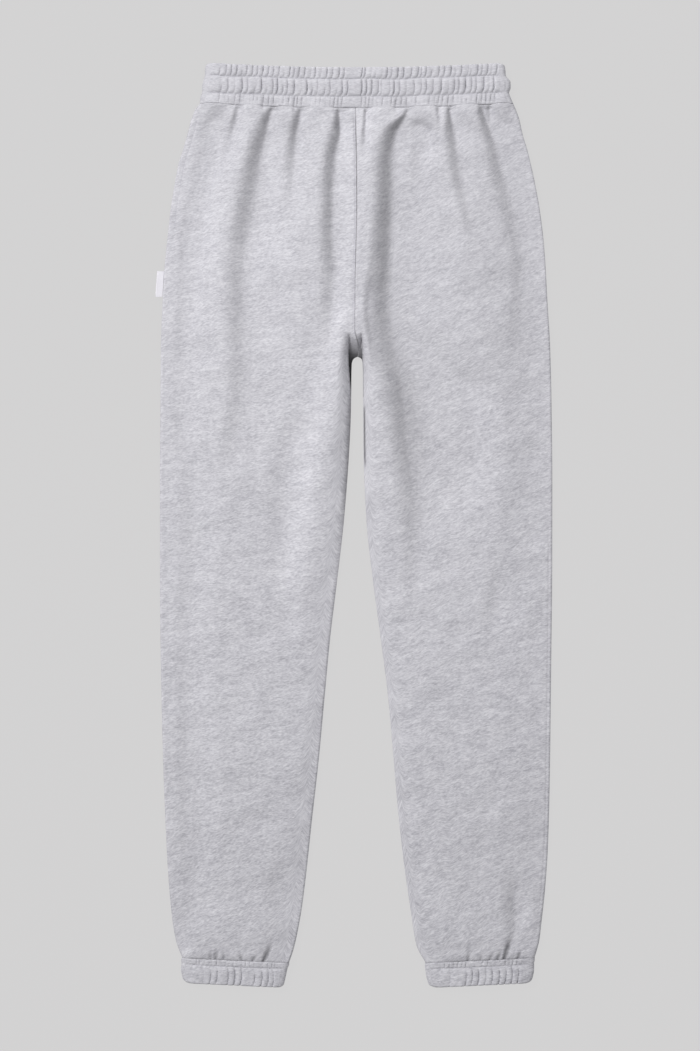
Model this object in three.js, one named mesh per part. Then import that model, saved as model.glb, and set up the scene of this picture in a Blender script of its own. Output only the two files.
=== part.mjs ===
import * as THREE from 'three';

// Jogger sweatpants in heavy brushed fleece, laid flat on a surface with the back up.
// Millimetres. +X is the wearer's right, +Y runs to the waist and +Z is up from the surface.
// The origin lies on the surface under the middle of the outline.

// Cloth and seams
const CLOTH = 3;
const BAND_WALL = 4.6;
const CUFF_WALL = 3.8;
const SEAM_GAP = 0.3;

// Waistband: a doubled casing round an elastic, stitched through twice
const WAIST_SEAM_Y = 464;
const WAIST_DIP = 5.5;
const WAIST_DIP_ENDS_Y = 395;
const WAIST_MIDDLE_X = 3;
const WAIST_HALF_WIDTH = 172;
const BAND_THICKNESS = 12.4;

// Cuffs: the same casing, narrower, with one row of topstitching
const CUFF_SEAM_Y = -474;
const CUFF_TILT = 5.5;
const CUFF_TILT_STARTS_Y = -415;
const CUFF_THICKNESS = 11;

// Where the centre seams sink between the legs, and where the legs part
const HOLLOW_Y = 207;
const CROTCH_Y = 185;

// Folds start below the waist seam within this length, and their columns spread out past their ends
const FOLD_START = 11;
const GUIDE_RELEASE = 130;
const GUIDE_GAP = 12;

// Steps of the mesh across the rolled edges, the flat front and the casings
const ROLL_STEPS = 4;
const FRONT_ROLL_STEPS = 3;
const FRONT_FLAT_STEPS = 4;
const CASING_END_STEPS = 5;
const CASING_UNDER_STEPS = 12;
const STEPS_BETWEEN_GUIDES = { left: 3, right: 4 };

// How strongly columns crowd towards a fold, as a share of the space between two folds
const CROWDING = 0.07;

// Outer edges of the whole garment, from the waist seam to the cuff seams
const OUTLINE = [
  { y: 464, left: -169.2, right: 175.1 },
  { y: 455, left: -174.7, right: 178.4 },
  { y: 446, left: -178.1, right: 181.6 },
  { y: 430, left: -182.5, right: 185.1 },
  { y: 413, left: -187.2, right: 190.2 },
  { y: 397, left: -192.4, right: 194.2 },
  { y: 380, left: -195.7, right: 198 },
  { y: 347, left: -201.1, right: 204 },
  { y: 314, left: -204.8, right: 208.2 },
  { y: 281, left: -208.1, right: 210.7 },
  { y: 248, left: -209.9, right: 212.4 },
  { y: 199, left: -211.8, right: 215.4 },
  { y: 138, left: -212.3, right: 217 },
  { y: 40, left: -212.9, right: 218 },
  { y: -60, left: -212.9, right: 217.8 },
  { y: -150, left: -212, right: 216.8 },
  { y: -225, left: -210.4, right: 216 },
  { y: -300, left: -208, right: 214.8 },
  { y: -357, left: -205.4, right: 213 },
  { y: -400, left: -202.6, right: 210 },
  { y: -435, left: -199, right: 206.2 },
  { y: -456, left: -195.2, right: 203.6 },
  { y: -474, left: -188.6, right: 198.6 },
];

// Centre seam of the seat, which the hollow above the crotch ends
const CENTRE_SEAM = [
  { y: 464, x: 1.8 },
  { y: 400, x: 3.2 },
  { y: 344, x: 3.5 },
  { y: 269, x: 1.8 },
  { y: 213, x: 1.4 },
  { y: 185, x: 4.1 },
];

// Inner edges of the two legs, from the crotch to the cuff seams
const INSEAM = [
  { y: 185, left: 3.9, right: 4.3 },
  { y: 182.5, left: -1, right: 8.2 },
  { y: 179, left: -2.2, right: 9.4 },
  { y: 166, left: -2.8, right: 10 },
  { y: 138, left: -3.2, right: 10.2 },
  { y: 72, left: -5.6, right: 10.8 },
  { y: 6, left: -10.8, right: 14 },
  { y: -60, left: -18.3, right: 20.9 },
  { y: -126, left: -26.2, right: 30 },
  { y: -192, left: -32.4, right: 38 },
  { y: -258, left: -38.6, right: 43.8 },
  { y: -324, left: -46, right: 49.6 },
  { y: -390, left: -53.2, right: 57.6 },
  { y: -423, left: -57.6, right: 62.6 },
  { y: -456, left: -64.8, right: 68.6 },
  { y: -474, left: -70.9, right: 78.4 },
];

// Heights of the flattened section: crown of the back, its side seams, and how wide each edge rolls
const SECTIONS = [
  { y: 464, crown: 12.4, seam: 6.2, outerRoll: 6.2, innerRoll: 7 },
  { y: 455, crown: 15.5, seam: 6.3, outerRoll: 14, innerRoll: 7 },
  { y: 440, crown: 18.6, seam: 6.4, outerRoll: 24, innerRoll: 7 },
  { y: 390, crown: 21.6, seam: 6.2, outerRoll: 36, innerRoll: 7 },
  { y: 314, crown: 20, seam: 5.9, outerRoll: 34, innerRoll: 7 },
  { y: 248, crown: 17.5, seam: 5.6, outerRoll: 22, innerRoll: 8 },
  { y: 190, crown: 17, seam: 5.5, outerRoll: 21, innerRoll: 9 },
  { y: 160, crown: 16.5, seam: 5.4, outerRoll: 20, innerRoll: 16 },
  { y: 105, crown: 14.5, seam: 5.1, outerRoll: 18, innerRoll: 17 },
  { y: 6, crown: 12, seam: 4.6, outerRoll: 13, innerRoll: 13 },
  { y: -126, crown: 10.4, seam: 4.3, outerRoll: 9, innerRoll: 9 },
  { y: -258, crown: 10, seam: 4.2, outerRoll: 8, innerRoll: 8 },
  { y: -390, crown: 10.6, seam: 4.4, outerRoll: 9, innerRoll: 9 },
  { y: -450, crown: 13, seam: 5, outerRoll: 11, innerRoll: 11 },
  { y: -474, crown: 11, seam: 5.5, outerRoll: 5.5, innerRoll: 5.5 },
];

// Levels of the sections, thick where the cloth is gathered and where the legs part
const LEVELS = [
  { to: 450, steps: 2 },
  { to: 425, steps: 2 },
  { to: 218, steps: 9 },
  { to: 185, steps: 5 },
  { to: 179, steps: 2 },
  { to: 138, steps: 2 },
  { to: -380, steps: 9 },
  { to: -455, steps: 3 },
  { to: CUFF_SEAM_Y, steps: 1 },
];

// Folds that fall from the waist seam on the back, each a valley along its path.
// Its left slope is the steep one, and a guide holds columns of the mesh.
const FOLDS = [
  {
    side: 'left', guide: true, depth: 3.5, steep: 9, soft: 13, fade: 80,
    path: [
      { y: 455, x: -147 }, { y: 433, x: -154.5 }, { y: 390, x: -164 }, { y: 315, x: -181 },
      { y: 232, x: -186 },
    ],
  },
  {
    side: 'left', guide: true, depth: 2.6, steep: 5, soft: 6, fade: 18,
    path: [{ y: 456, x: -126 }, { y: 430, x: -132.5 }, { y: 408, x: -137 }],
  },
  {
    side: 'left', guide: true, depth: 5.5, steep: 8, soft: 14, fade: 110,
    path: [
      { y: 455, x: -87.5 }, { y: 427, x: -95.5 }, { y: 393, x: -105.5 }, { y: 315, x: -120 },
      { y: 200, x: -123 },
    ],
  },
  {
    side: 'left', guide: true, depth: 3.6, steep: 6, soft: 9, fade: 40,
    path: [{ y: 455, x: -56.5 }, { y: 430, x: -61 }, { y: 412, x: -63.5 }, { y: 352, x: -69 }],
  },
  {
    side: 'left', guide: true, depth: 5.5, steep: 6, soft: 12, fade: 80,
    path: [
      { y: 458, x: -13.5 }, { y: 440, x: -12.5 }, { y: 411, x: -18.5 }, { y: 380, x: -22.5 },
      { y: 232, x: -24.5 },
    ],
  },
  {
    side: 'right', guide: true, depth: 7.5, steep: 9, soft: 17, fade: 120,
    path: [
      { y: 457, x: 61 }, { y: 446, x: 55 }, { y: 428, x: 47 }, { y: 362, x: 40.5 }, { y: 250, x: 35.5 },
      { y: 204, x: 39 }, { y: 140, x: 55 }, { y: 45, x: 65 }, { y: -55, x: 70 },
    ],
  },
  {
    side: 'right', guide: false, depth: 1.8, steep: 6, soft: 6, fade: 20,
    path: [{ y: 446, x: 71 }, { y: 399, x: 70 }],
  },
  {
    side: 'right', guide: true, depth: 4, steep: 7, soft: 10, fade: 60,
    path: [{ y: 457, x: 109 }, { y: 417, x: 112.5 }, { y: 390, x: 116 }, { y: 347, x: 124.5 }],
  },
  {
    side: 'right', guide: true, depth: 4.2, steep: 9, soft: 13, fade: 90,
    path: [
      { y: 457, x: 145 }, { y: 440, x: 150 }, { y: 412, x: 157.5 }, { y: 352, x: 171 },
      { y: 241, x: 184 },
    ],
  },
];

// Rows of the waistband from the waist seam to its rim: height above the seam, ends of the row,
// how far it puffs out, depth of its gathers, and which set of gathers it follows
const BAND_ROWS = [
  { up: 0, left: -169.2, right: 175.1, puff: 0, depth: 0.6, gathers: 2 },
  { up: 5.5, left: -168.5, right: 172.5, puff: 1.6, depth: 1.8, gathers: 2 },
  { up: 11.3, left: -166.5, right: 170.5, puff: 0, depth: 0.5, gathers: 1.5 },
  { up: 17, left: -167, right: 171.5, puff: 2.2, depth: 2, gathers: 1 },
  { up: 25, left: -165.5, right: 170, puff: 2, depth: 2, gathers: 1 },
  { up: 30.5, left: -163.5, right: 167, puff: 0, depth: 0.5, gathers: 0.5 },
  { up: 36.5, left: -163.5, right: 164.5, puff: 1.4, depth: 1.8, gathers: 0 },
  { up: 42.3, left: -162.5, right: 164, puff: -0.9, depth: 0.7, gathers: 0 },
];
const BAND_HEIGHT = 43.9;

// How far a gather drifts off its even place, in pitches, and how much its depth varies
const GATHER_DRIFT = 0.3;
const GATHER_VARIETY = 0.7;
const WOBBLE = { gather: 12.9898, set: 78.233, reach: 43758.5453 };

// The gathers leave a smooth stretch at centre back, where the casing is joined
const BAND_GATHERS = [
  { from: -152, to: -7, count: 20 },
  { from: 9, to: 157, count: 21 },
];

// Rows of the cuffs from their seam to the hem, the first strip topstitched
const CUFF_ROWS = [
  { down: 0, outerLeft: -188.6, innerLeft: -70.9, innerRight: 78.4, outerRight: 198.6, puff: 0 },
  { down: 3.5, outerLeft: -189.6, innerLeft: -71, innerRight: 77.9, outerRight: 198.8, puff: 0.9 },
  { down: 7, outerLeft: -189.2, innerLeft: -72.4, innerRight: 78.2, outerRight: 198, puff: 0 },
  { down: 13, outerLeft: -189.8, innerLeft: -74, innerRight: 79, outerRight: 198, puff: 1.5 },
  { down: 20, outerLeft: -188.6, innerLeft: -75.6, innerRight: 80.6, outerRight: 196.9, puff: 1.4 },
  { down: 26, outerLeft: -185, innerLeft: -77.8, innerRight: 84, outerRight: 193.4, puff: -0.8 },
];
const CUFF_HEIGHT = 27.6;
// Depth of the gathers in each row of a cuff, and the set that it follows
const CUFF_RELIEF = [
  { depth: 0.5, gathers: 0 },
  { depth: 1, gathers: 0 },
  { depth: 0.5, gathers: 0.5 },
  { depth: 1.6, gathers: 1 },
  { depth: 1.6, gathers: 1 },
  { depth: 0.6, gathers: 1 },
];
const CUFF_GATHERS = {
  left: [{ from: -163, to: -92, count: 8 }],
  right: [{ from: 113, to: 182, count: 8 }],
};

// Loop label caught in the left side seam
const LABEL_TOP_Y = 279;
const LABEL_LENGTH = 28;
const LABEL_WIDTH = 7.6;
const LABEL_LEAN = 1.9;
const LABEL_LEAF = 0.8;
const LABEL_SLOT = 0.4;

const FLEECE_LEFT = 0xc6c5cb;
const FLEECE_RIGHT = 0xc1c0c6;
const LABEL_WHITE = 0xe8e6ed;

const { lerp, smoothstep, clamp } = THREE.MathUtils;

// A smooth curve through one column of a table, which never overshoots its rows
function curveThrough(table, name) {
  const rows = [...table].sort((a, b) => a.y - b.y);
  const last = rows.length - 1;
  const secants = rows.slice(1).map((row, i) => (row[name] - rows[i][name]) / (row.y - rows[i].y));
  const slopes = rows.map((row, i) => {
    const before = secants[Math.max(i - 1, 0)];
    const after = secants[Math.min(i, last - 1)];
    return before * after <= 0 ? 0 : (2 * before * after) / (before + after);
  });
  return (height) => {
    const y = clamp(height, rows[0].y, rows[last].y);
    let i = 0;
    while (i < last - 1 && y > rows[i + 1].y) i += 1;
    const span = rows[i + 1].y - rows[i].y;
    const t = (y - rows[i].y) / span;
    const start = rows[i][name] * (1 + 2 * t) + span * slopes[i] * t;
    const end = rows[i + 1][name] * (3 - 2 * t) + span * slopes[i + 1] * (t - 1);
    return start * (1 - t) ** 2 + end * t ** 2;
  };
}

const outlineLeft = curveThrough(OUTLINE, 'left');
const outlineRight = curveThrough(OUTLINE, 'right');
const centreSeam = curveThrough(CENTRE_SEAM, 'x');
const inseamLeft = curveThrough(INSEAM, 'left');
const inseamRight = curveThrough(INSEAM, 'right');
const crownAt = curveThrough(SECTIONS, 'crown');
const seamHeightAt = curveThrough(SECTIONS, 'seam');
const outerRollAt = curveThrough(SECTIONS, 'outerRoll');
const innerRollAt = curveThrough(SECTIONS, 'innerRoll');

FOLDS.forEach((fold) => {
  fold.valley = curveThrough(fold.path, 'x');
  fold.end = fold.path[fold.path.length - 1].y;
});

// +1 for the wearer's right, -1 for the left
function sign(side) {
  return side === 'right' ? 1 : -1;
}

function outerEdge(side, y) {
  return side === 'right' ? outlineRight(y) : outlineLeft(y);
}

// The inner edge is the centre seam above the crotch and the inner leg below it
function innerEdge(side, y) {
  if (y > CROTCH_Y) return centreSeam(y) + (sign(side) * SEAM_GAP) / 2;
  return side === 'right' ? inseamRight(y) : inseamLeft(y);
}

// 0 where the two sides are sewn together flat, 1 where each leg closes on itself
function partedAt(y) {
  return 1 - smoothstep(y, CROTCH_Y, HOLLOW_Y);
}

// The waist seam sags to the middle, and each cuff seam falls towards the inner leg
function settled(side, x, y) {
  const across = clamp((x - WAIST_MIDDLE_X) / WAIST_HALF_WIDTH, -1, 1);
  const dip = WAIST_DIP * (1 - across ** 2) * smoothstep(y, WAIST_DIP_ENDS_Y, WAIST_SEAM_Y);
  const outer = outerEdge(side, y);
  const inward = clamp((x - outer) / (innerEdge(side, y) - outer), 0, 1);
  const tilt = CUFF_TILT * inward * (1 - smoothstep(y, CUFF_SEAM_Y, CUFF_TILT_STARTS_Y));
  return y - dip - tilt;
}

function foldDepth(side, x, y) {
  const grown = smoothstep(WAIST_SEAM_Y - y, 0, FOLD_START);
  return FOLDS.filter((fold) => fold.side === side).reduce((total, fold) => {
    const across = x - fold.valley(y);
    const width = across < 0 ? fold.steep : fold.soft;
    const present = grown * smoothstep(y, fold.end, fold.end + fold.fade);
    return total + fold.depth * present * Math.exp(-((across / width) ** 2));
  }, 0);
}

// Even steps of angle over a roll, so that its columns crowd at the edge
function rollSteps(steps) {
  return Array.from({ length: steps + 1 }, (_, i) => ((i / steps) * Math.PI) / 2);
}

// Columns between the two rolls, which follow the folds where there are any and never cross
function middleColumns(side, y, from, to) {
  const guides = FOLDS.filter((fold) => fold.side === side && fold.guide);
  guides.sort((a, b) => sign(side) * (b.valley(WAIST_SEAM_Y) - a.valley(WAIST_SEAM_Y)));
  const inward = -sign(side);
  const reach = inward * (to - from);
  const knots = [0];
  guides.forEach((fold, k) => {
    const even = (reach * (k + 1)) / (guides.length + 1);
    const followed = inward * (fold.valley(y) - from);
    const wanted = lerp(even, followed, smoothstep(y, fold.end - GUIDE_RELEASE, fold.end));
    knots.push(clamp(wanted, knots[k] + GUIDE_GAP, reach - (guides.length - k) * GUIDE_GAP));
  });
  knots.push(reach);
  const columns = [from];
  const steps = STEPS_BETWEEN_GUIDES[side];
  for (let k = 1; k < knots.length; k += 1) {
    for (let i = 1; i <= steps; i += 1) {
      const t = i / steps;
      const crowded = t - CROWDING * Math.sin(2 * Math.PI * t);
      columns.push(from + inward * lerp(knots[k - 1], knots[k], crowded));
    }
  }
  return columns;
}

// The back panel's outer face at one level, from the side seam over the crown to the inner edge
function backSection(side, y) {
  const outer = outerEdge(side, y);
  const inner = innerEdge(side, y);
  const inward = Math.sign(inner - outer);
  const seam = seamHeightAt(y) + SEAM_GAP / 2;
  const rise = crownAt(y) - seam;
  const outerRoll = outerRollAt(y);
  const innerRoll = innerRollAt(y);
  const parted = partedAt(y);
  const rollStart = inner - inward * innerRoll;
  const points = [];
  const add = (x, share) => {
    const height = seam + (rise - foldDepth(side, x, y)) * share;
    points.push(new THREE.Vector3(x, settled(side, x, y), height));
  };
  rollSteps(ROLL_STEPS).forEach((angle) => {
    add(outer + inward * outerRoll * (1 - Math.cos(angle)), Math.sin(angle));
  });
  middleColumns(side, y, outer + inward * outerRoll, rollStart).slice(1).forEach((x) => add(x, 1));
  rollSteps(ROLL_STEPS).reverse().slice(1).forEach((angle) => {
    const falling = lerp(1 - Math.cos(angle), Math.sin(angle), parted ** 2);
    add(inner - inward * innerRoll * (1 - Math.cos(angle)), 1 - parted + parted * falling);
  });
  return points;
}

// The front panel's outer face, flat on the surface with its edges turned up to the seams
function frontSection(side, y) {
  const outer = outerEdge(side, y);
  const inner = innerEdge(side, y);
  const inward = Math.sign(inner - outer);
  const roll = seamHeightAt(y) - SEAM_GAP / 2;
  const parted = partedAt(y);
  const points = [];
  const add = (x, height) => points.push(new THREE.Vector3(x, settled(side, x, y), height));
  rollSteps(FRONT_ROLL_STEPS).forEach((angle) => {
    add(outer + inward * roll * (1 - Math.cos(angle)), roll * (1 - Math.sin(angle)));
  });
  for (let i = 1; i <= FRONT_FLAT_STEPS; i += 1) {
    add(lerp(outer + inward * roll, inner - inward * roll, i / FRONT_FLAT_STEPS), 0);
  }
  rollSteps(FRONT_ROLL_STEPS).reverse().slice(1).forEach((angle) => {
    const rising = lerp(Math.cos(angle), 1 - Math.sin(angle), parted ** 2);
    add(inner - inward * roll * (1 - Math.cos(angle)), roll * parted * rising);
  });
  return points;
}

// The inner face of a wall: each outer point moved in by the cloth, square to the section
function innerFace(points, side, y, up) {
  const turn = (partedAt(y) * Math.PI) / 2;
  const last = points.length - 1;
  return points.map((point, i) => {
    const moved = point.clone();
    if (i === 0) {
      moved.x -= sign(side) * CLOTH;
    } else if (i === last) {
      moved.x += sign(side) * CLOTH * Math.sin(turn);
      moved.z -= up * CLOTH * Math.cos(turn);
    } else {
      const along = points[i + 1].clone().sub(points[i - 1]).setY(0).normalize();
      const downward = up * Math.sign(along.x);
      moved.x += CLOTH * along.z * downward;
      moved.z -= CLOTH * along.x * downward;
    }
    return moved;
  });
}

function levels() {
  const found = [WAIST_SEAM_Y];
  LEVELS.forEach(({ to, steps }) => {
    const from = found[found.length - 1];
    for (let i = 1; i <= steps; i += 1) found.push(lerp(from, to, i / steps));
  });
  return found;
}

// A closed body through rings of points. The rings meet end to end where it is a loop,
// and otherwise its first and last ring are closed by faces between their two sides.
function bodyThrough(rings, loop) {
  const count = rings[0].length;
  const positions = rings.flat().flatMap((point) => point.toArray());
  const faces = [];
  const quad = (a, b, c, d) => faces.push(a, b, c, a, c, d);
  const pairs = loop ? rings.length : rings.length - 1;
  for (let r = 0; r < pairs; r += 1) {
    const next = ((r + 1) % rings.length) * count;
    for (let i = 0; i < count; i += 1) {
      const j = (i + 1) % count;
      quad(r * count + i, next + i, next + j, r * count + j);
    }
  }
  if (!loop) {
    const end = (rings.length - 1) * count;
    for (let i = 0; i < count / 2 - 1; i += 1) {
      quad(i, i + 1, count - 2 - i, count - 1 - i);
      quad(end + i, end + count - 1 - i, end + count - 2 - i, end + i + 1);
    }
  }
  const geometry = new THREE.BufferGeometry();
  geometry.setAttribute('position', new THREE.Float32BufferAttribute(positions, 3));
  geometry.setIndex(facingOut(positions, faces));
  geometry.computeVertexNormals();
  return geometry;
}

// The faces, turned over if the body they close came out with a negative volume
function facingOut(positions, faces) {
  const corner = (k) => new THREE.Vector3().fromArray(positions, faces[k] * 3);
  let volume = 0;
  for (let k = 0; k < faces.length; k += 3) {
    volume += corner(k).dot(corner(k + 1).cross(corner(k + 2)));
  }
  return volume > 0 ? faces : faces.reverse();
}

function panel(side, sectionAt, up) {
  const rings = levels().map((y, row, all) => {
    const outside = sectionAt(side, y);
    const inside = innerFace(outside, side, y, up);
    const ring = [...outside, ...inside.reverse()];
    if (row === 0) ring.forEach((point) => point.setY(point.y - SEAM_GAP / 2));
    if (row === all.length - 1) ring.forEach((point) => point.setY(point.y + SEAM_GAP / 2));
    return ring;
  });
  return bodyThrough(rings, false);
}

// A fixed irregularity between -0.5 and 0.5 for gather k of a set
function wobble(k, set) {
  const wave = Math.sin(WOBBLE.gather * (k + 1) + WOBBLE.set * (set + 1)) * WOBBLE.reach;
  return wave - Math.floor(wave) - 0.5;
}

// Valleys and ridges across one set of gathers, as places with how deep each one is
function gatherStations(stretches, set) {
  return stretches.flatMap(({ from, to, count }) => {
    const pitch = (to - from) / count;
    const valleys = Array.from({ length: count }, (_, k) => {
      const drift = GATHER_DRIFT * wobble(k, set + from);
      return from + pitch * (k + 0.5 + drift);
    });
    const ridges = valleys.slice(1).map((x, k) => (x + valleys[k]) / 2);
    const stations = valleys.flatMap((x, k) => [
      { x: k ? ridges[k - 1] : from, deep: 0 },
      { x, deep: 1 + GATHER_VARIETY * wobble(k, set + to) },
    ]);
    return [...stations, { x: to, deep: 0 }];
  });
}

// Stations between two sets of gathers, where the stitching holds both
function stationsAt(stretches, set) {
  const above = gatherStations(stretches, Math.floor(set));
  const below = gatherStations(stretches, Math.ceil(set));
  return above.map((station, i) => ({
    x: (station.x + below[i].x) / 2,
    deep: (station.deep + below[i].deep) / 2,
  }));
}

// One ring of a casing: gathered on top, round at both ends and flat below, moved in by inset
function casingRing(row, stretches, thickness, inset, heightAt) {
  const radius = thickness / 2;
  const reach = radius - inset;
  const [left, right] = [row.left + radius, row.right - radius];
  const plain = inset > 0;
  const ring = [];
  const add = (x, z) => ring.push(new THREE.Vector3(x, heightAt(x), z));
  const top = [{ x: left, deep: 0 }, ...stationsAt(stretches, row.gathers), { x: right, deep: 0 }];
  top.forEach((station, i) => {
    const atEnd = i === 0 || i === top.length - 1;
    const relief = plain || atEnd ? 0 : row.puff - row.depth * station.deep;
    add(station.x, radius + reach + relief);
  });
  for (let i = 1; i < CASING_END_STEPS; i += 1) {
    const angle = Math.PI * (0.5 - i / CASING_END_STEPS);
    add(right + reach * Math.cos(angle), radius + reach * Math.sin(angle));
  }
  for (let i = 0; i <= CASING_UNDER_STEPS; i += 1) {
    add(lerp(right, left, i / CASING_UNDER_STEPS), radius - reach);
  }
  for (let i = CASING_END_STEPS - 1; i > 0; i -= 1) {
    const angle = Math.PI * (0.5 - i / CASING_END_STEPS);
    add(left - reach * Math.cos(angle), radius + reach * Math.sin(angle));
  }
  return ring;
}

// The rings of a casing, from its seam along the outside, round its free edge and back inside
function casing(rows, stretches, thickness, wall, lineOf, edgeLine) {
  const seamRow = rows[0];
  const rimRow = rows[rows.length - 1];
  return [
    ...rows.map((row) => casingRing(row, stretches, thickness, 0, lineOf(row))),
    casingRing(rimRow, stretches, thickness, wall / 2, edgeLine),
    casingRing(rimRow, stretches, thickness, wall, lineOf(rimRow)),
    casingRing(seamRow, stretches, thickness, wall, lineOf(seamRow)),
  ];
}

// The waist seam and every row above it sag to the middle alike
function waistLine(up) {
  const clearance = up === 0 ? SEAM_GAP / 2 : 0;
  return (x) => {
    const across = clamp((x - WAIST_MIDDLE_X) / WAIST_HALF_WIDTH, -1, 1);
    return WAIST_SEAM_Y + up + clearance - WAIST_DIP * (1 - across ** 2);
  };
}

// The cuff seam and every row below it fall towards the inner leg alike
function cuffLine(side, down) {
  const clearance = down === 0 ? SEAM_GAP / 2 : 0;
  const outer = outerEdge(side, CUFF_SEAM_Y);
  const inner = innerEdge(side, CUFF_SEAM_Y);
  return (x) => {
    const inward = clamp((x - outer) / (inner - outer), 0, 1);
    return CUFF_SEAM_Y - down - clearance - CUFF_TILT * inward;
  };
}

function waistband() {
  const lineOf = (row) => waistLine(row.up);
  const edgeLine = waistLine(BAND_HEIGHT);
  return bodyThrough(casing(BAND_ROWS, BAND_GATHERS, BAND_THICKNESS, BAND_WALL, lineOf, edgeLine), true);
}

function cuff(side) {
  const rows = CUFF_ROWS.map((row, i) => ({
    ...row,
    ...CUFF_RELIEF[i],
    left: side === 'left' ? row.outerLeft : row.innerRight,
    right: side === 'left' ? row.innerLeft : row.outerRight,
  }));
  const lineOf = (row) => cuffLine(side, row.down);
  const edgeLine = cuffLine(side, CUFF_HEIGHT);
  return bodyThrough(casing(rows, CUFF_GATHERS[side], CUFF_THICKNESS, CUFF_WALL, lineOf, edgeLine), true);
}

// A tape folded into a loop, its two ends at the seam and its fold outermost
function label() {
  const thickness = 2 * LABEL_LEAF + LABEL_SLOT;
  const round = thickness / 2;
  const shape = new THREE.Shape();
  shape.moveTo(0, round);
  shape.lineTo(LABEL_WIDTH - round, round);
  shape.absarc(LABEL_WIDTH - round, 0, round, Math.PI / 2, -Math.PI / 2, true);
  shape.lineTo(0, -round);
  shape.lineTo(0, -LABEL_SLOT / 2);
  shape.lineTo(LABEL_WIDTH - round, -LABEL_SLOT / 2);
  shape.lineTo(LABEL_WIDTH - round, LABEL_SLOT / 2);
  shape.lineTo(0, LABEL_SLOT / 2);
  shape.closePath();
  const settings = { depth: LABEL_LENGTH, bevelEnabled: false, curveSegments: 6 };
  const geometry = new THREE.ExtrudeGeometry(shape, settings);
  const lean = LABEL_LEAN / LABEL_LENGTH;
  geometry.applyMatrix4(new THREE.Matrix4().set(
    -1, 0, lean, -LABEL_LEAN,
    0, 0, 1, -LABEL_LENGTH,
    0, 1, 0, 0,
    0, 0, 0, 1,
  ));
  return geometry;
}

function piece(name, geometry, colour) {
  const material = new THREE.MeshStandardMaterial({ color: colour, roughness: 0.95, metalness: 0 });
  const mesh = new THREE.Mesh(geometry, material);
  mesh.name = name;
  return mesh;
}

const group = new THREE.Group();
group.add(piece('back_left', panel('left', backSection, 1), FLEECE_LEFT));
group.add(piece('back_right', panel('right', backSection, 1), FLEECE_RIGHT));
group.add(piece('front_left', panel('left', frontSection, -1), FLEECE_LEFT));
group.add(piece('front_right', panel('right', frontSection, -1), FLEECE_RIGHT));
group.add(piece('waistband', waistband(), FLEECE_LEFT));
group.add(piece('cuff_left', cuff('left'), FLEECE_LEFT));
group.add(piece('cuff_right', cuff('right'), FLEECE_RIGHT));

const tag = piece('label', label(), LABEL_WHITE);
tag.position.set(outlineLeft(LABEL_TOP_Y) - SEAM_GAP, LABEL_TOP_Y, seamHeightAt(LABEL_TOP_Y));
group.add(tag);

export default group;
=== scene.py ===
import math
from functools import reduce

import bpy
import numpy as np
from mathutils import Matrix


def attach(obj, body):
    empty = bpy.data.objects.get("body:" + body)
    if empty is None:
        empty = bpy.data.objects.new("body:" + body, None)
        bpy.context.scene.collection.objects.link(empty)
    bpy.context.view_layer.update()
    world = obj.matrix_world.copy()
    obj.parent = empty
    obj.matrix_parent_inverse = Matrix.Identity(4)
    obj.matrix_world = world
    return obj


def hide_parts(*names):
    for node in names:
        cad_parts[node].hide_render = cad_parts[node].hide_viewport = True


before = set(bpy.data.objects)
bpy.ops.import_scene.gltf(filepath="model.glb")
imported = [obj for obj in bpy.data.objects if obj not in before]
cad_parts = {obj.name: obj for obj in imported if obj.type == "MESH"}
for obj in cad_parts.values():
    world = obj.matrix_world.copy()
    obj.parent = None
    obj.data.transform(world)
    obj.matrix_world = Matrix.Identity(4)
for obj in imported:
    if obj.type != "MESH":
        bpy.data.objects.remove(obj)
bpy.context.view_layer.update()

# Jogger sweatpants in heather grey fleece, laid flat with the back up.
# Sizes are in millimetres, in the frame of the CAD model, and MM turns them into metres.
MM = 0.001
SIDES = ("left", "right")

CLOTH = 3.0
BAND_WALL = 4.6
CUFF_WALL = 3.8
SEAM_GAP = 0.1

WAIST_SEAM_Y = 464.0
WAIST_DIP = 5.5
WAIST_DIP_ENDS_Y = 395.0
WAIST_MIDDLE_X = 3.0
WAIST_HALF_WIDTH = 172.0
BAND_THICKNESS = 12.4
BAND_HEIGHT = 43.9

CUFF_SEAM_Y = -474.0
CUFF_TILT = 5.5
CUFF_TILT_STARTS_Y = -415.0
CUFF_THICKNESS = 11.0
CUFF_HEIGHT = 27.6

HOLLOW_Y = 211.0
HOLLOW_WALL_TOP_Y = 216.0
HOLLOW_SHADE_FOOT_Y = 140.0
CROTCH_Y = 185.0
LEG_MIDDLE_X = 100.0


def table(names, rows):
    """Rows of values, with a name for each column."""
    return [dict(zip(names.split(), row)) for row in rows]


# Outer edges of the whole garment, from the waist seam to the cuff seams
OUTLINE = table("y left right", [
    (464, -169.2, 175.1), (455, -174.7, 178.4), (446, -178.1, 181.6), (430, -182.5, 185.1),
    (413, -187.2, 190.2), (397, -192.4, 194.2), (380, -195.7, 198), (347, -201.1, 204),
    (314, -204.8, 208.2), (281, -208.1, 210.7), (248, -209.9, 212.4), (199, -211.8, 215.4),
    (138, -212.3, 217), (40, -212.9, 218), (-60, -212.9, 217.8), (-150, -212, 216.8),
    (-225, -210.4, 216), (-300, -208, 214.8), (-357, -205.4, 213), (-400, -202.6, 210),
    (-435, -199, 206.2), (-456, -195.2, 203.6), (-474, -188.6, 198.6)
])

CENTRE_SEAM = table("y x", [
    (464, 1.8), (400, 3.2), (344, 3.5), (269, 1.8), (213, 1.4), (199, 4.2), (190, 5.2), (185, 4.2)
])

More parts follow.
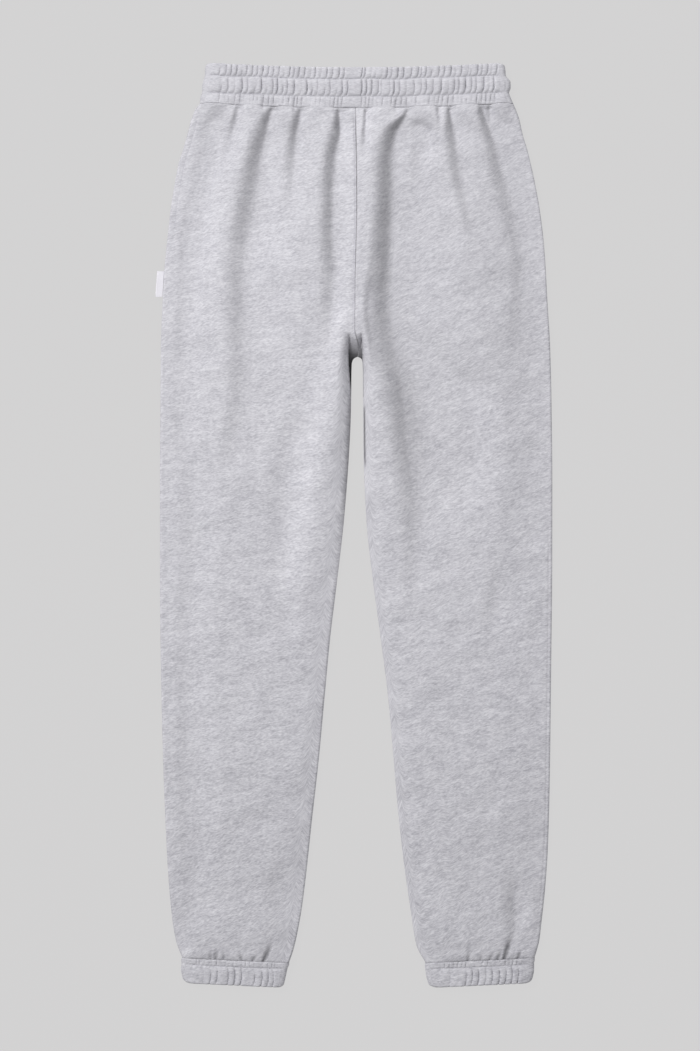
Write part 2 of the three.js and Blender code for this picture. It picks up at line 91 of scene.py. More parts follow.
INSEAM = table("y left right", [
    (185, 3.4, 4.6), (184, 1.2, 7), (183, 0, 8.2), (182, -0.8, 8.9), (180, -1.7, 9.3), (178, -2.2, 9.6),
    (166, -2.6, 10), (149, -2.8, 10.1), (120, -3.3, 10.3), (83, -5, 10.6), (6, -10.8, 13.8),
    (-60, -18.3, 20.9), (-126, -26.2, 29.8), (-192, -32.4, 38), (-258, -38.6, 43.8), (-324, -46, 49.6),
    (-390, -53.2, 57.6), (-423, -57.6, 62.6), (-456, -64.8, 68.6), (-474, -70.9, 78.4)
])

# Heights of the flattened section: crown, side seams, how high and wide the edges roll,
# and how far in from the edge the crown is reached
SECTIONS = table("y crown seam edge outer rise", [
    (464, 12.4, 6.2, 5.2, 5.2, 30),
    (455, 14.8, 6.3, 3.8, 4.4, 48),
    (440, 17.4, 6.3, 2.6, 3.2, 65),
    (415, 19.8, 6.3, 2.3, 2.9, 74),
    (380, 21, 6.2, 2.2, 2.8, 80),
    (314, 20.5, 5.9, 2.2, 2.8, 85),
    (248, 19, 5.6, 2.2, 2.8, 80),
    (160, 17, 5.4, 2.2, 2.8, 75),
    (105, 15, 5.1, 2.2, 2.8, 70),
    (6, 12.4, 4.6, 2.2, 2.8, 65),
    (-126, 11, 4.3, 2.4, 2.8, 60),
    (-258, 10.6, 4.2, 2.4, 2.8, 55),
    (-390, 11.4, 4.4, 2.6, 3, 45),
    (-450, 13.4, 5, 3.6, 4, 30),
    (-474, 11, 5.5, 5.5, 5.5, 20),
])

# Rolls of the inner edges on each side, how far the slopes behind them reach,
# and where the wall of the crotch hollow stands
INNER_ROLLS = table("y left right", [
    (464, 4, 4), (209, 1.8, 1.4), (150, 2.4, 1.3), (90, 7, 2.6), (6, 6.5, 3), (-100, 3.4, 3),
    (-200, 2.4, 2.6), (-474, 2.4, 2.6)
])
INNER_SLOPES = table("y left right", [
    (210, 7, 7), (185, 11, 10), (149, 16, 20), (83, 22, 40), (6, 31, 45), (-82, 48, 45), (-192, 50, 45),
    (-474, 45, 45)
])
HOLLOW_WALLS = table("y left right", [
    (215, -4.8, 8.4), (207, -5.4, 8.8), (185, -5.6, 9.2), (166, -4.6, 10), (155, -3.6, 10),
    (146, -2.8, 9.8)
])
# The seam's fold in the hollow, at its top and its foot
HOLLOW_FOLD = table("y x shade", [(213, 1.6, 0.3), (187, 9.4, 0.7)])
# Darkness of the hollow's walls at its top, and how much is added towards its foot
HOLLOW_SHADE = 0.24
HOLLOW_DEEPER = {"left": 0.66, "right": 0.56}
# Darkness where the left inner edge rolls under, and the levels between which it shows
ROLL_SHADE = {"left": 0.42, "right": 0}
ROLL_SHADE_WIDTH = 2.8
ROLL_SHADE_LEVELS = (-20, 60, 130, 150)
LEAST_LIFT = 1.6
# How far in from the side seams, and from the waist and cuff seams, the low relief starts
RELIEF_IN = 14.0
WAVES_IN = 25.0

# Creases of the back. The cloth steps down to the right at each one, and then rises again slowly
# over the distance back. A path has rows of: level, place of the steepest line, slope there,
# and how far the step reaches to the left and right. Shadow is how much darker its fold lies.
# Near the waist seam the cloth rises again sooner.
PATH_COLUMNS = "y line slope reach_left reach_right"
SHORTER_RISE_LEVELS = (425, 460)
CREASE_TOP_SHADE = 0.42
CREASES = {
    "left": table("shadow back path", [
        (0.05, 26, [
            (463, -150, 0.15, 10, 10), (435, -160, 0.54, 16, 12), (402, -167, 0.44, 16, 14),
            (369, -174, 0.42, 15, 14), (325, -184.5, 0.6, 11, 13), (281, -188.5, 0.6, 10, 13),
            (237, -190.5, 0.44, 10, 14), (204, -192.5, 0.27, 11, 15), (149, -196, 0.24, 10, 16),
            (83, -191, 0.22, 12, 16), (6, -183, 0.26, 14, 14), (-82, -190, 0.2, 12, 15),
            (-192, -190, 0.2, 12, 18), (-302, -189, 0.26, 12, 18), (-412, -185, 0.24, 12, 18),
            (-455, -184, 0, 12, 14)]),
        (0.15, 14, [
            (463, -128, 0.7, 4, 3), (450, -130.5, 0.8, 6, 4), (435, -134.5, 0.62, 8, 6),
            (418, -139, 0.3, 9, 8), (402, -142, 0, 9, 9)]),
        (0.2, 48, [
            (463, -90.5, 0.9, 6, 2.5), (450, -94.5, 0.9, 12, 4), (435, -98.5, 0.76, 18, 6.5),
            (402, -108.5, 0.68, 20, 13), (369, -115.5, 0.54, 19, 19), (325, -124, 0.5, 20, 20),
            (281, -129.5, 0.38, 20, 18), (237, -129.5, 0.34, 22, 18), (204, -128, 0.28, 20, 18),
            (149, -130, 0.22, 16, 18), (100, -135, 0.12, 18, 18), (60, -138, 0, 18, 18)]),
        (0.2, 30, [
            (463, -59.5, 0.85, 5, 2.5), (450, -61.5, 0.9, 10, 3.5), (435, -64.5, 0.96, 13, 5),
            (402, -69, 0.58, 13, 9), (369, -72, 0.24, 12, 10), (330, -74, 0, 12, 10)]),
        (0.25, 48, [
            (463, -18, 1.2, 4, 1.5), (450, -16.8, 1.2, 9, 1.8), (435, -16.5, 0.92, 16, 3),
            (418, -21, 0.72, 17, 6.5), (402, -25, 0.62, 17, 9), (369, -27, 0.6, 16, 9.5),
            (325, -27.8, 0.56, 17, 9), (281, -27, 0.38, 18, 12), (237, -28.5, 0.27, 17, 11),
            (204, -31.5, 0.12, 16, 12), (170, -33, 0, 16, 12)]),
        (0, 30, [
            (120, -77, 0, 18, 14), (83, -80, 0.2, 18, 14), (40, -83, 0.22, 19, 15), (6, -87, 0.24, 20, 16),
            (-40, -91, 0.1, 20, 16), (-75, -94, 0, 20, 16)]),
        (0, 24, [
            (-350, -95, 0, 18, 18), (-412, -90, 0.2, 18, 18), (-450, -92, 0.12, 15, 15),
            (-468, -93, 0, 12, 12)]),
    ]),
    "right": table("shadow back path", [
        (0.1, 6, [
            (463, 12.3, 1.1, 3, 2.2), (450, 11.8, 1.1, 3.5, 2.5), (435, 10.6, 1, 3.5, 3),
            (420, 9.5, 0.35, 4, 4), (405, 9, 0, 4, 4)]),
        (0.24, 70, [
            (463, 58, 0.6, 4, 2.5), (455, 56, 0.75, 6, 3), (446, 49.5, 0.8, 12, 5.5), (435, 43, 0.79, 18, 9),
            (418, 38.5, 0.76, 20, 11), (402, 35.5, 0.7, 20, 12), (369, 34.7, 0.71, 20, 15),
            (325, 33.2, 0.74, 21, 16), (281, 31.8, 0.7, 22, 19), (237, 29.8, 0.61, 22, 22),
            (204, 33, 0.5, 24, 27), (180, 39.5, 0.5, 28, 32), (149, 50, 0.57, 31, 40),
            (83, 56.5, 0.46, 28, 41), (6, 62, 0.24, 22, 22), (-40, 60, 0.13, 20, 15), (-90, 60, 0, 20, 15)]),
        (0.12, 20, [
            (345, 22, 0, 6, 5), (325, 23, 0.15, 8, 5), (281, 19, 0.32, 8, 6), (237, 13, 0.5, 6, 6),
            (204, 17, 0.45, 6, 8), (180, 20, 0.2, 6, 8), (160, 22, 0, 6, 8)]),
        (0, 20, [
            (450, 66, 0, 6, 6), (435, 67.5, 0.75, 7, 8), (402, 67.5, 0.52, 10, 10), (360, 67, 0, 10, 10)]),
        (0.1, 6, [
            (463, 91.5, 0.9, 3, 2.5), (450, 92, 0.6, 3, 3), (436, 93, 0, 4, 4)]),
        (0.2, 36, [
            (463, 103.5, 1.1, 5, 2), (450, 104.7, 1, 8, 3.5), (435, 106, 0.74, 13, 7),
            (402, 109, 0.56, 13, 10), (369, 113.5, 0.4, 10, 11), (325, 124, 0.15, 9, 10),
            (300, 128, 0, 9, 10)]),
        (0.18, 42, [
            (463, 138.5, 0.95, 5, 2.5), (450, 141, 0.85, 9, 5), (435, 146, 0.64, 13, 8),
            (402, 154, 0.45, 18, 11), (369, 161, 0.3, 15, 13), (325, 172, 0.2, 14, 14),
            (281, 178.5, 0.19, 11, 10), (237, 177.5, 0.13, 13, 11), (204, 175, 0.08, 12, 12),
            (160, 173, 0, 12, 12)]),
        (0.15, 6, [
            (463, 147.2, 0.85, 3, 2), (450, 147.8, 0.75, 3, 3), (438, 149, 0, 4, 4)]),
        (0, 30, [
            (-30, 152, 0, 12, 12), (-82, 149.5, 0.26, 13, 12), (-140, 146, 0.1, 14, 12),
            (-180, 145, 0, 14, 12)]),
        (0.05, 18, [
            (-340, 165, 0, 14, 8), (-380, 168, 0.16, 15, 8), (-412, 172, 0.44, 18, 7),
            (-440, 173, 0.42, 13, 6), (-466, 172, 0.2, 8, 5)]),
    ]),
}

# The soft ridge from the seat down the inner left thigh: level, place, height and width on each side
THIGH_RIDGE = table("y x height left right", [
    (320, -8, 0, 12, 10),
    (281, -10, 1, 12, 10),
    (237, -12, 2.6, 14, 12),
    (204, -17, 3.6, 18, 10),
    (149, -25, 4, 24, 15),
    (83, -40, 4, 22, 20),
    (6, -55, 2.4, 20, 22),
    (-82, -60, 1.8, 14, 10),
    (-150, -62, 0, 14, 10),
])
# Painted highlight: how much lighter the colour is made along the crest of the thigh ridge
RIDGE_PAINTED_HIGHLIGHT = 0.11

# How much darker the cloth lies down each side, from the waist seam to the cuffs
SOFT_SHADES = table("y left right", [
    (464, 0.075, 0.05), (435, 0.07, 0.085), (395, 0.045, 0.085), (350, 0.015, 0.07), (280, 0, 0.05),
    (200, 0.015, 0.05), (120, 0, 0.02), (-200, 0, 0), (-300, 0.03, 0.015), (-474, 0.025, 0.012)
])
# It sets in between these distances from the middle
SOFT_SHADE_STARTS = (8, 40)

# Lines pressed into the backs along a seam: the edge that each one follows, how far in from it, width, depth
# and shade, and the levels where it starts, is full, fades and ends
LINE_COLUMNS = "edge inset width depth shade starts full fades ends"
POCKET_STITCHES_IN = 6.5
SEAM_LINES = {
    "left": table(LINE_COLUMNS, [
        ("outer", POCKET_STITCHES_IN, 0.7, 0.4, 0, 322, 330, 440, 450),
    ]),
    "right": table(LINE_COLUMNS, [
        ("outer", 4.2, 0.7, 0.5, 0.12, -470, -400, -40, 20),
        ("inner", 1.4, 0.9, 0, 0.72, 62, 72, 122, 136),
    ]),
}
POCKET_STITCHES = (326, 446)
# The centre seam and the line of stitching beside it, which grow fainter down between these levels
SEAT_STITCHES_IN = 2.3
SEAM_FADING_LEVELS = (260, 420)

# Short creases that rise from the cuff seams, and the puffs of the stretch where the cloth is gathered
CUFF_PUFF = 1.3
CUFF_GATHERED = (95, 110, 178, 190)
CUFF_CREASE_SHADE = 0.5
CUFF_CREASES = {
    "left": table("foot top rise depth width", [
        (-157.1, -156.5, 9, 1.3, 1.5),
        (-151.6, -149.5, 11, 1.6, 1.6),
        (-142.3, -142.5, 9, 1.1, 1.5),
        (-123, -124.4, 8, 1.6, 1.5),
        (-111.2, -107, 7, 1.8, 1.5),
        (-99.3, -90, 18, 2.6, 1.9),
    ]),
    "right": table("foot top rise depth width", [
        (125, 126.5, 11, 1.5, 1.5),
        (139, 139.8, 7, 1.1, 1.4),
        (148.8, 153, 8, 1.5, 1.5),
        (157.6, 161.8, 11, 1.8, 1.5),
        (164.5, 173, 24, 2.8, 1.9),
        (179.5, 184, 10, 1.6, 1.5),
    ]),
}

# Stretches where the seat puffs over the waist seam, and how far down the puffs reach
PUFF_REACH = 11.0
SEAT_PUFFS = table("from to height", [
    (-166, -133, 2.2), (-122.5, -100, 3), (-84.5, -65.5, 2.8), (-56, -21.5, 3.2), (18, 45.5, 3),
    (59.5, 91, 3.2), (108, 137, 3.2), (153, 172, 2.2)
])

# How far the waist seam sags where no puff covers it, and how far up and down from it that reaches
WINDOW_SAG = 1.0
WINDOW_REACH = 9.0

# Ends of the waistband at levels above the waist seam
BAND_ENDS = table("y left right", [
    (0, -169.2, 175.1), (5.5, -168.5, 172.5), (11.3, -166.5, 170.5), (17, -166.6, 172.2),
    (23, -165.6, 172), (30.5, -163.6, 167), (36.5, -163.4, 166.4), (41, -162.5, 165.6),
    (43.9, -159.5, 162)
])
# Rows of the waistband between its lines of stitching, with the strong gathers listed one by one.
# Weak ones fill the gaps at the row's pitch, and broken is the share by which a gather may stop short.
# The cuffs have two such rows each: the strip above their stitching, and the body below it.
ROW_COLUMNS = "from to puff depth lean bow hook weak pitch broken"
BAND_ROWS = table(ROW_COLUMNS, [
    (0, 11.3, 1.3, 0.8, 1.2, 0, 0.3, 0.62, 5.2, 0),
    (11.3, 30.5, 2.3, 0.9, 0.3, 0.5, 1.4, 0.55, 6.9, 0),
    (30.5, 43.9, 1.7, 0.9, 1.3, 0.3, 0.8, 0.6, 5.7, 0),
])
BAND_GATHERS = [
    [-130.8, -125.2, -99.6, -93.8, -88.4, -65.6, -62.5, -57.5, -21.9, -17.8, -13.5, 7.8, 12.4, 16.2, 45.6,
     51.6, 57.1, 92.2, 96.7, 102.7, 108.2, 134.1, 139.6, 144.2, 149.2],
    [-123.1, -101.9, -84.5, -65.9, -52.1, -13.5, -7.5, 7.8, 13.1, 18.9, 43.3, 95, 121.4, 141.5],
    [-134.7, -128.9, -117.8, -106.1, -94.2, -82.6, -70.7, -60.6, -54.4, -42.8, -30.1, -16.6, -11.2, 8.1,
     11.6, 35.9, 47.7, 54, 62.5, 69.9, 78.5, 92.7, 98.6, 105.9, 117.3, 135.1, 146, 156],
]
BAND_STRETCHES = [(-154, -5.9), (7.3, 160)]
BAND_STITCHES = (-160, 164)

# Ends of the cuffs at levels below their seams
CUFF_ENDS = table("y left_from left_to right_from right_to", [
    (0, -188.6, -70.9, 78.4, 198.6),
    (3.5, -189.6, -71, 77.9, 198.8),
    (7, -189.2, -72.4, 78.2, 198),
    (13, -189.8, -74, 79, 198),
    (20, -188.6, -75.6, 80.6, 196.9),
    (24.5, -187, -76.8, 82.4, 195.4),
    (27.6, -183, -79.8, 87, 191.6),
])
CUFF_ROWS = table(ROW_COLUMNS, [
    (0, 7, 1.1, 0.5, 0, 0, 0, 0.75, 4.6, 0),
    (7, 27.6, 1.7, 1, -0.8, 1.5, 0, 0.4, 8.6, 0.5),
])
CUFF_GATHERS = {
    "left": [[], [-158.8, -151.6, -139.4, -132.3, -125, -110.6, -102.4, -95.6]],
    "right": [[], [121.4, 128, 135, 149.9, 157.8, 165, 171.7, 178.6]],
}
CUFF_STRETCHES = {"left": [(-178, -82)], "right": [(94, 188)]}

LABEL_TOP_Y = 279.0
LABEL_LENGTH = 28.0
LABEL_WIDTH = 7.6
LABEL_LEAN = 1.9
LABEL_LEAF = 0.8
LABEL_SLOT = 0.4

# Depth of the tucks at the waist seam's windows and along the cuff seams, and shade of the first
SEAM_TUCK = 0.6
SEAM_SHADE = 0.14
CUFF_TUCK = 0.5

# Slopes of the marl strokes in degrees: they lie flatter at the hip and knee than at the shin
STROKE_ANGLES = table("y left right", [
    (460, 12, 24), (250, 12, 22), (0, 10, 20), (-250, 12, 16), (-420, 22, 27)
])
# Tones of the marl: where each one lies in the pattern, and its display colour
MARL = [(0.31, (168, 167, 174)), (0.5, (196, 195, 201)), (0.69, (218, 217, 222))]

# Mesh steps: the levels down to which the rows have each step, and the columns
ROW_STEPS = [(452, 0.6), (420, 1.3), (216, 3), (187, 1), (177, 0.6), (140, 2), (-440, 3.2), (-462, 1.5),
             (CUFF_SEAM_Y, 0.6)]
FRONT_EDGE_STEPS = 8
FRONT_MIDDLE_STEPS = 24
SHARP_ANGLE = 60
LABEL_ROWS = 30
OUTER_STEPS = 12
OUTER_REACH = 9.0
INNER_STEPS = 24
INNER_REACH = 17.0
MIDDLE_STEPS = 116
INNER_FACE_STRIDE = 4
CASING_STEP = 0.5

# How far to the right of its mark a gather lies, and how much painted shade lies in the gathers and along the
# stitched lines
GATHER_SHIFT = 0.7
GATHER_SHADE = 0.34
STITCH_SHADE = 0.1

STITCH_PITCH = 3.3
STITCH_LENGTH = 2.4
THREAD = 0.5
LINE_STEP = 0.8

# The floor, in metres, with the greys of its grain and its own light
FLOOR_HALF = 12.0
FLOOR_BELOW = 0.0002
FLOOR_GREYS = [(0.0, 0.016), (1.0, 0.022)]
FLOOR_GLOW = (1.0, 0.993, 0.996, 1)
FLOOR_GLOW_STRENGTH = 0.632


def smooth(value, low, high):
    """0 below low, 1 above high, and a smooth step between them."""
    t = np.clip((np.asarray(value, float) - low) / (high - low), 0, 1)
    return t * t * (3 - 2 * t)


def within(value, starts, full, fades, ends):
    """1 between full and fades, 0 outside starts and ends, with smooth steps between them."""
    return smooth(value, starts, full) * (1 - smooth(value, fades, ends))


def bell(distance, width):
    """1 at no distance, and falling softly to 0 on both sides."""
    return np.exp(-((distance / width) ** 2))


def beside(*parts):
    """Arrays joined along their rows."""
    return np.concatenate(parts, axis=1)


def rounded(distance, reach):
    """A quarter round: 0 at the edge, 1 from reach inwards."""
    t = np.clip(distance / reach, 0, 1)
    return np.sqrt(1 - (1 - t) ** 2)


def curve_through(points):
    """A smooth curve through (place, value) points, which never overshoots them."""
    points = sorted(points)
    at = np.array([p[0] for p in points], float)
    value = np.array([p[1] for p in points], float)
    secant = np.diff(value) / np.diff(at)
    before = np.concatenate([secant[:1], secant])
    after = np.concatenate([secant, secant[-1:]])
    product = before * after
    total = np.where(product > 0, before + after, 1)
    slope = np.where(product > 0, 2 * product / total, 0)

    def value_at(place):
        y = np.clip(np.asarray(place, float), at[0], at[-1])
        i = np.clip(np.searchsorted(at, y, side="right") - 1, 0, len(at) - 2)
        span = at[i + 1] - at[i]
        t = (y - at[i]) / span
        start = value[i] * (1 + 2 * t) + span * slope[i] * t
        end = value[i + 1] * (3 - 2 * t) + span * slope[i + 1] * (t - 1)
        return start * (1 - t) ** 2 + end * t**2

    return value_at


def columns(rows):
    """A smooth curve over the levels for each other column of a table."""
    return {name: curve_through([(row["y"], row[name]) for row in rows]) for name in rows[0] if name != "y"}


outline = columns(OUTLINE)
inseam = columns(INSEAM)
inner_roll = columns(INNER_ROLLS)
inner_slope = columns(INNER_SLOPES)
hollow_wall = columns(HOLLOW_WALLS)
centre_seam = columns(CENTRE_SEAM)["x"]
section = columns(SECTIONS)
thigh_ridge = columns(THIGH_RIDGE)
soft_shade = columns(SOFT_SHADES)
stroke_angle = columns(STROKE_ANGLES)
band_end = columns(BAND_ENDS)
cuff_end = columns(CUFF_ENDS)
for crease in CREASES["left"] + CREASES["right"]:
    path = table(PATH_COLUMNS, crease["path"])
    crease.update(columns(path), top=path[0]["y"], foot=path[-1]["y"])


def sign(side):
    return 1 if side == "right" else -1


def inner_edge(side, y):
    above = centre_seam(y) + sign(side) * SEAM_GAP / 2
    return np.where(y > CROTCH_Y, above, inseam[side](y))


def parted_at(y):
    """0 where the two sides are sewn together flat, 1 where each leg closes on itself."""
    return 1 - smooth(y, CROTCH_Y, HOLLOW_Y)


def waist_dip(x):
    """How far the waist seam sags, most at its middle."""
    across = np.clip((x - WAIST_MIDDLE_X) / WAIST_HALF_WIDTH, -1, 1)
    return WAIST_DIP * (1 - across**2)


def settled(side, x, y):
    """The waist seam sags to the middle, and each cuff seam falls towards the inner leg."""
    dip = waist_dip(x) * smooth(y, WAIST_DIP_ENDS_Y, WAIST_SEAM_Y)
    dip = dip + WINDOW_SAG * seam_open(x) * smooth(y, WAIST_SEAM_Y - WINDOW_REACH, WAIST_SEAM_Y)
    outer = outline[side](y)
    inward = np.clip((x - outer) / (inner_edge(side, y) - outer), 0, 1)
    tilt = CUFF_TILT * inward * (1 - smooth(y, CUFF_SEAM_Y, CUFF_TILT_STARTS_Y))
    return y - dip - tilt


def crease_relief(side, x, y):
    """Depth of all creases, and the shadow in their folds."""
    below_seam = smooth(WAIST_SEAM_Y - y, -3, 6)
    depth = np.zeros(np.broadcast(x, y).shape)
    shadow = np.zeros(depth.shape)
    for crease in CREASES[side]:
        across = x - crease["line"](y)
        left, right = crease["reach_left"](y), crease["reach_right"](y)
        slope = crease["slope"](y) * ((y <= crease["top"] + 2) & (y >= crease["foot"]))
        if crease["top"] > WAIST_SEAM_Y - 4:
            slope = slope * below_seam
        before = np.clip(across / left, -1, 0)
        after = np.clip(across / right, 0, 1)
        step = left / 2 * (1 + before + np.sin(math.pi * before) / math.pi)
        step = step + right / 2 * (after + np.sin(math.pi * after) / math.pi)
        back = crease["back"] * (1 - 0.6 * smooth(y, *SHORTER_RISE_LEVELS))
        t = np.clip((across - right) / back, 0, 1)
        depth += slope * step * (1 - 0.5 * t - 0.5 * smooth(t, 0, 1))
        steepness = (1 + np.cos(math.pi * (before + after))) / 2
        folded = np.clip(slope / 0.6, 0, 1.5)
        shadow = np.maximum(shadow, crease["shadow"] * folded * steepness ** 1.5)
        tucked = bell(y - WAIST_SEAM_Y + 3, 4.5) * bell(across, 1.7)
        shadow = np.maximum(shadow, CREASE_TOP_SHADE * np.clip(slope, 0, 1) * tucked)
    return depth, shadow


def at_least(value, least, softness):
    """The larger of two values, with a soft passage between them."""
    return 0.5 * (value + least + np.sqrt((value - least) ** 2 + softness**2))


def cuff_crease_relief(side, x, y):
    """Short creases above a cuff, and the small puffs between them."""
    up = y - CUFF_SEAM_Y
    depth = np.zeros(np.broadcast(x, y).shape)
    for crease in CUFF_CREASES[side]:
        along = up / crease["rise"]
        across = x - (crease["foot"] + (crease["top"] - crease["foot"]) * along)
        width = crease["width"] * np.where(across < 0, 1 + 1.6 * np.clip(along, 0, 1), 1.3)
        present = crease["depth"] * (1 - smooth(along, 0.35, 1.25))
        depth = np.maximum(depth, present * bell(across, width))
    gathered = within(np.abs(x), *CUFF_GATHERED)
    return depth, CUFF_PUFF * bell(up - 5, 6) * gathered


def seat_puff(x):
    """Height of the cloth that puffs over the waist seam, 0 where the seam shows."""
    total = np.zeros(np.shape(x))
    for puff in SEAT_PUFFS:
        s = np.clip((x - puff["from"]) / (puff["to"] - puff["from"]), 0, 1)
        total += puff["height"] * (4 * s * (1 - s)) ** 0.65
    return total


def seam_open(x):
    """1 where the waist seam shows between two puffs of the seat, 0 where a puff hides it."""
    return 1 - smooth(seat_puff(x), 0.3, 2.2)


def undulation(x, y, seed, waves=22, shortest=26.0, longest=95.0, amplitude=0.11):
    """Low soft relief, the sum of waves with fixed random directions and phases."""
    rng = np.random.default_rng(seed)
    total = np.zeros(np.broadcast(x, y).shape)
    for _ in range(waves):
        length = rng.uniform(shortest, longest)
        angle = rng.uniform(0, math.pi)
        phase = rng.uniform(0, 2 * math.pi)
        turn = 2 * math.pi / length
        total += np.sin(turn * (x * math.cos(angle) + y * math.sin(angle)) + phase)
    return amplitude * total


def row_levels():
    """Levels from the waist seam to the cuff seams, closer together at both and at the crotch."""
    found = [WAIST_SEAM_Y]
    for end, step in ROW_STEPS:
        count = int(math.ceil((found[-1] - end) / step))
        found.extend(np.linspace(found[-1], end, count + 1)[1:])
    return np.array(found)


def section_columns(side, y, outer_reach, inner_reach, outer_steps, inner_steps, middle_steps):
    """Places across a panel, crowded at both edges, and the angles round its edges."""
    outer = outline[side](y)
    inner = inner_edge(side, y)
    inward = np.sign(inner - outer)
    outer_angle = np.linspace(0, math.pi / 2, outer_steps + 1)[None, :]
    inner_angle = np.linspace(math.pi / 2, 0, inner_steps + 1)[None, :]
    start = outer + inward * outer_reach * (1 - np.cos(outer_angle))
    end = inner - inward * inner_reach * (1 - np.cos(inner_angle))
    t = np.linspace(0, 1, middle_steps + 1)[None, 1:-1]
    middle = (outer + inward * outer_reach) * (1 - t) + (inner - inward * inner_reach) * t
    return beside(start, middle, end), outer_angle, inner_angle


def wall_at(side, y):
    """The inner edge as seen from above: the wall of the crotch hollow, or the edge itself."""
    edge = inner_edge(side, y)
    outermost = np.minimum if side == "left" else np.maximum
    beside_hollow = (y > HOLLOW_WALLS[-1]["y"]) & (y < HOLLOW_WALL_TOP_Y)
    return np.where(beside_hollow, outermost(edge, hollow_wall[side](y)), edge)


def hollow_slant(x, y):
    """Power of the parting: low beside both walls of the crotch hollow, high at the seam between them."""
    left, right, seam = hollow_wall["left"](y), hollow_wall["right"](y), centre_seam(y)
    to_left = np.clip((seam - x) / (seam - left), 0, 1)
    to_right = np.clip((x - seam) / (right - seam), 0, 1)
    return 1.5 - 0.9 * np.maximum(to_left, to_right)


def back_surface(side):
    """Places, heights and shade of the back panel's outer face."""
    y = row_levels()[:, None]
    x, _, _ = section_columns(side, y, OUTER_REACH, INNER_REACH, OUTER_STEPS, INNER_STEPS, MIDDLE_STEPS)
    seam = section["seam"](y) + SEAM_GAP / 2
    edge = section["edge"](y)
    from_outer = np.abs(x - outline[side](y))
    from_wall = (wall_at(side, y) - x) * -sign(side)
    parted = parted_at(y) ** hollow_slant(x, y)
    outer_round = rounded(from_outer, section["outer"](y))
    outer_rise = smooth(from_outer, 0, section["rise"](y))
    inner_round = 1 - parted + parted * rounded(from_wall, inner_roll[side](y))
    inner_rise = 1 - parted + parted * inward_rise(from_wall, inner_slope[side](y))
    broad = (section["crown"](y) - seam - edge) * outer_rise * inner_rise
    depth, shadow = crease_relief(side, x, y)
    cuff_depth, cuff_puff = cuff_crease_relief(side, x, y)
    ridge = ridge_profile(side, x, y)
    down = WAIST_SEAM_Y - y
    puff = seat_puff(x) * bell(down, PUFF_REACH)
    waves = undulation(x, y, seed=4) * smooth(down, 0, WAVES_IN) * smooth(y - CUFF_SEAM_Y, 0, WAVES_IN)
    relief = puff + cuff_puff + waves + thigh_ridge["height"](y) * ridge - depth - cuff_depth
    relief = relief * rounded(from_outer, RELIEF_IN)
    least = 0.9 * np.minimum(edge, LEAST_LIFT)
    z = seam + at_least(edge + broad + relief, least, 1.0) * outer_round * inner_round
    groove, groove_shadow = seam_reliefs(side, x, y)
    z -= groove * np.clip(outer_round * inner_round * 1.5, 0, 1)
    shade = 1 - reduce(np.maximum, [
        shadow,
        groove_shadow,
        hollow_shade(side, x, y, inner_round),
        ROLL_SHADE[side] * bell(from_wall, ROLL_SHADE_WIDTH) * within(y, *ROLL_SHADE_LEVELS),
        CUFF_CREASE_SHADE * np.clip(cuff_depth / 2.2, 0, 1) ** 1.3,
    ])
    shade = shade * (1 - soft_shade[side](y) * smooth(np.abs(x), *SOFT_SHADE_STARTS))
    # Painted highlight along the thigh ridge, lightening the colour where the ridge stands high
    shade = shade * (1 + RIDGE_PAINTED_HIGHLIGHT * ridge * np.clip(thigh_ridge["height"](y) / 3, 0, 1))
    return x, np.broadcast_to(y, x.shape), z, settled(side, x, y), shade


def hollow_shade(side, x, y, inner_round):
    """Darkness in the crotch hollow: its walls, darker towards their foot, and the seam's fold."""
    in_hollow = (1 - inner_round) * (y > HOLLOW_SHADE_FOOT_Y)
    deep = smooth(HOLLOW_Y - y, 0, HOLLOW_Y - CROTCH_Y)
    walls = (HOLLOW_SHADE + HOLLOW_DEEPER[side] * deep) * in_hollow ** 0.8
    return np.maximum(walls, fold_in_hollow(x, y))


def ridge_profile(side, x, y):
    """1 along the ridge of the left thigh, 0 away from it."""
    if side == "right":
        return np.zeros(np.broadcast(x, y).shape)
    across = x - thigh_ridge["x"](y)
    return bell(across, np.where(across < 0, thigh_ridge["left"](y), thigh_ridge["right"](y)))


def fold_in_hollow(x, y):
    """Shade of the seam's fold, which runs across the crotch hollow to its right end."""
    top, foot = HOLLOW_FOLD
    t = np.clip((top["y"] - y) / (top["y"] - foot["y"]), 0, 1)
    line = top["x"] + (foot["x"] - top["x"]) * t**1.3
    inside = smooth(y, foot["y"] - 2, foot["y"] + 1) * (y < top["y"])
    return (top["shade"] + (foot["shade"] - top["shade"]) * t) * inside * bell(x - line, 0.8)


def inward_rise(distance, reach):
    """Rises from the inner edge of a leg, steep at first and level at its reach."""
    t = np.clip(distance / reach, 0, 1)
    return 1 - (1 - t) ** 2.2


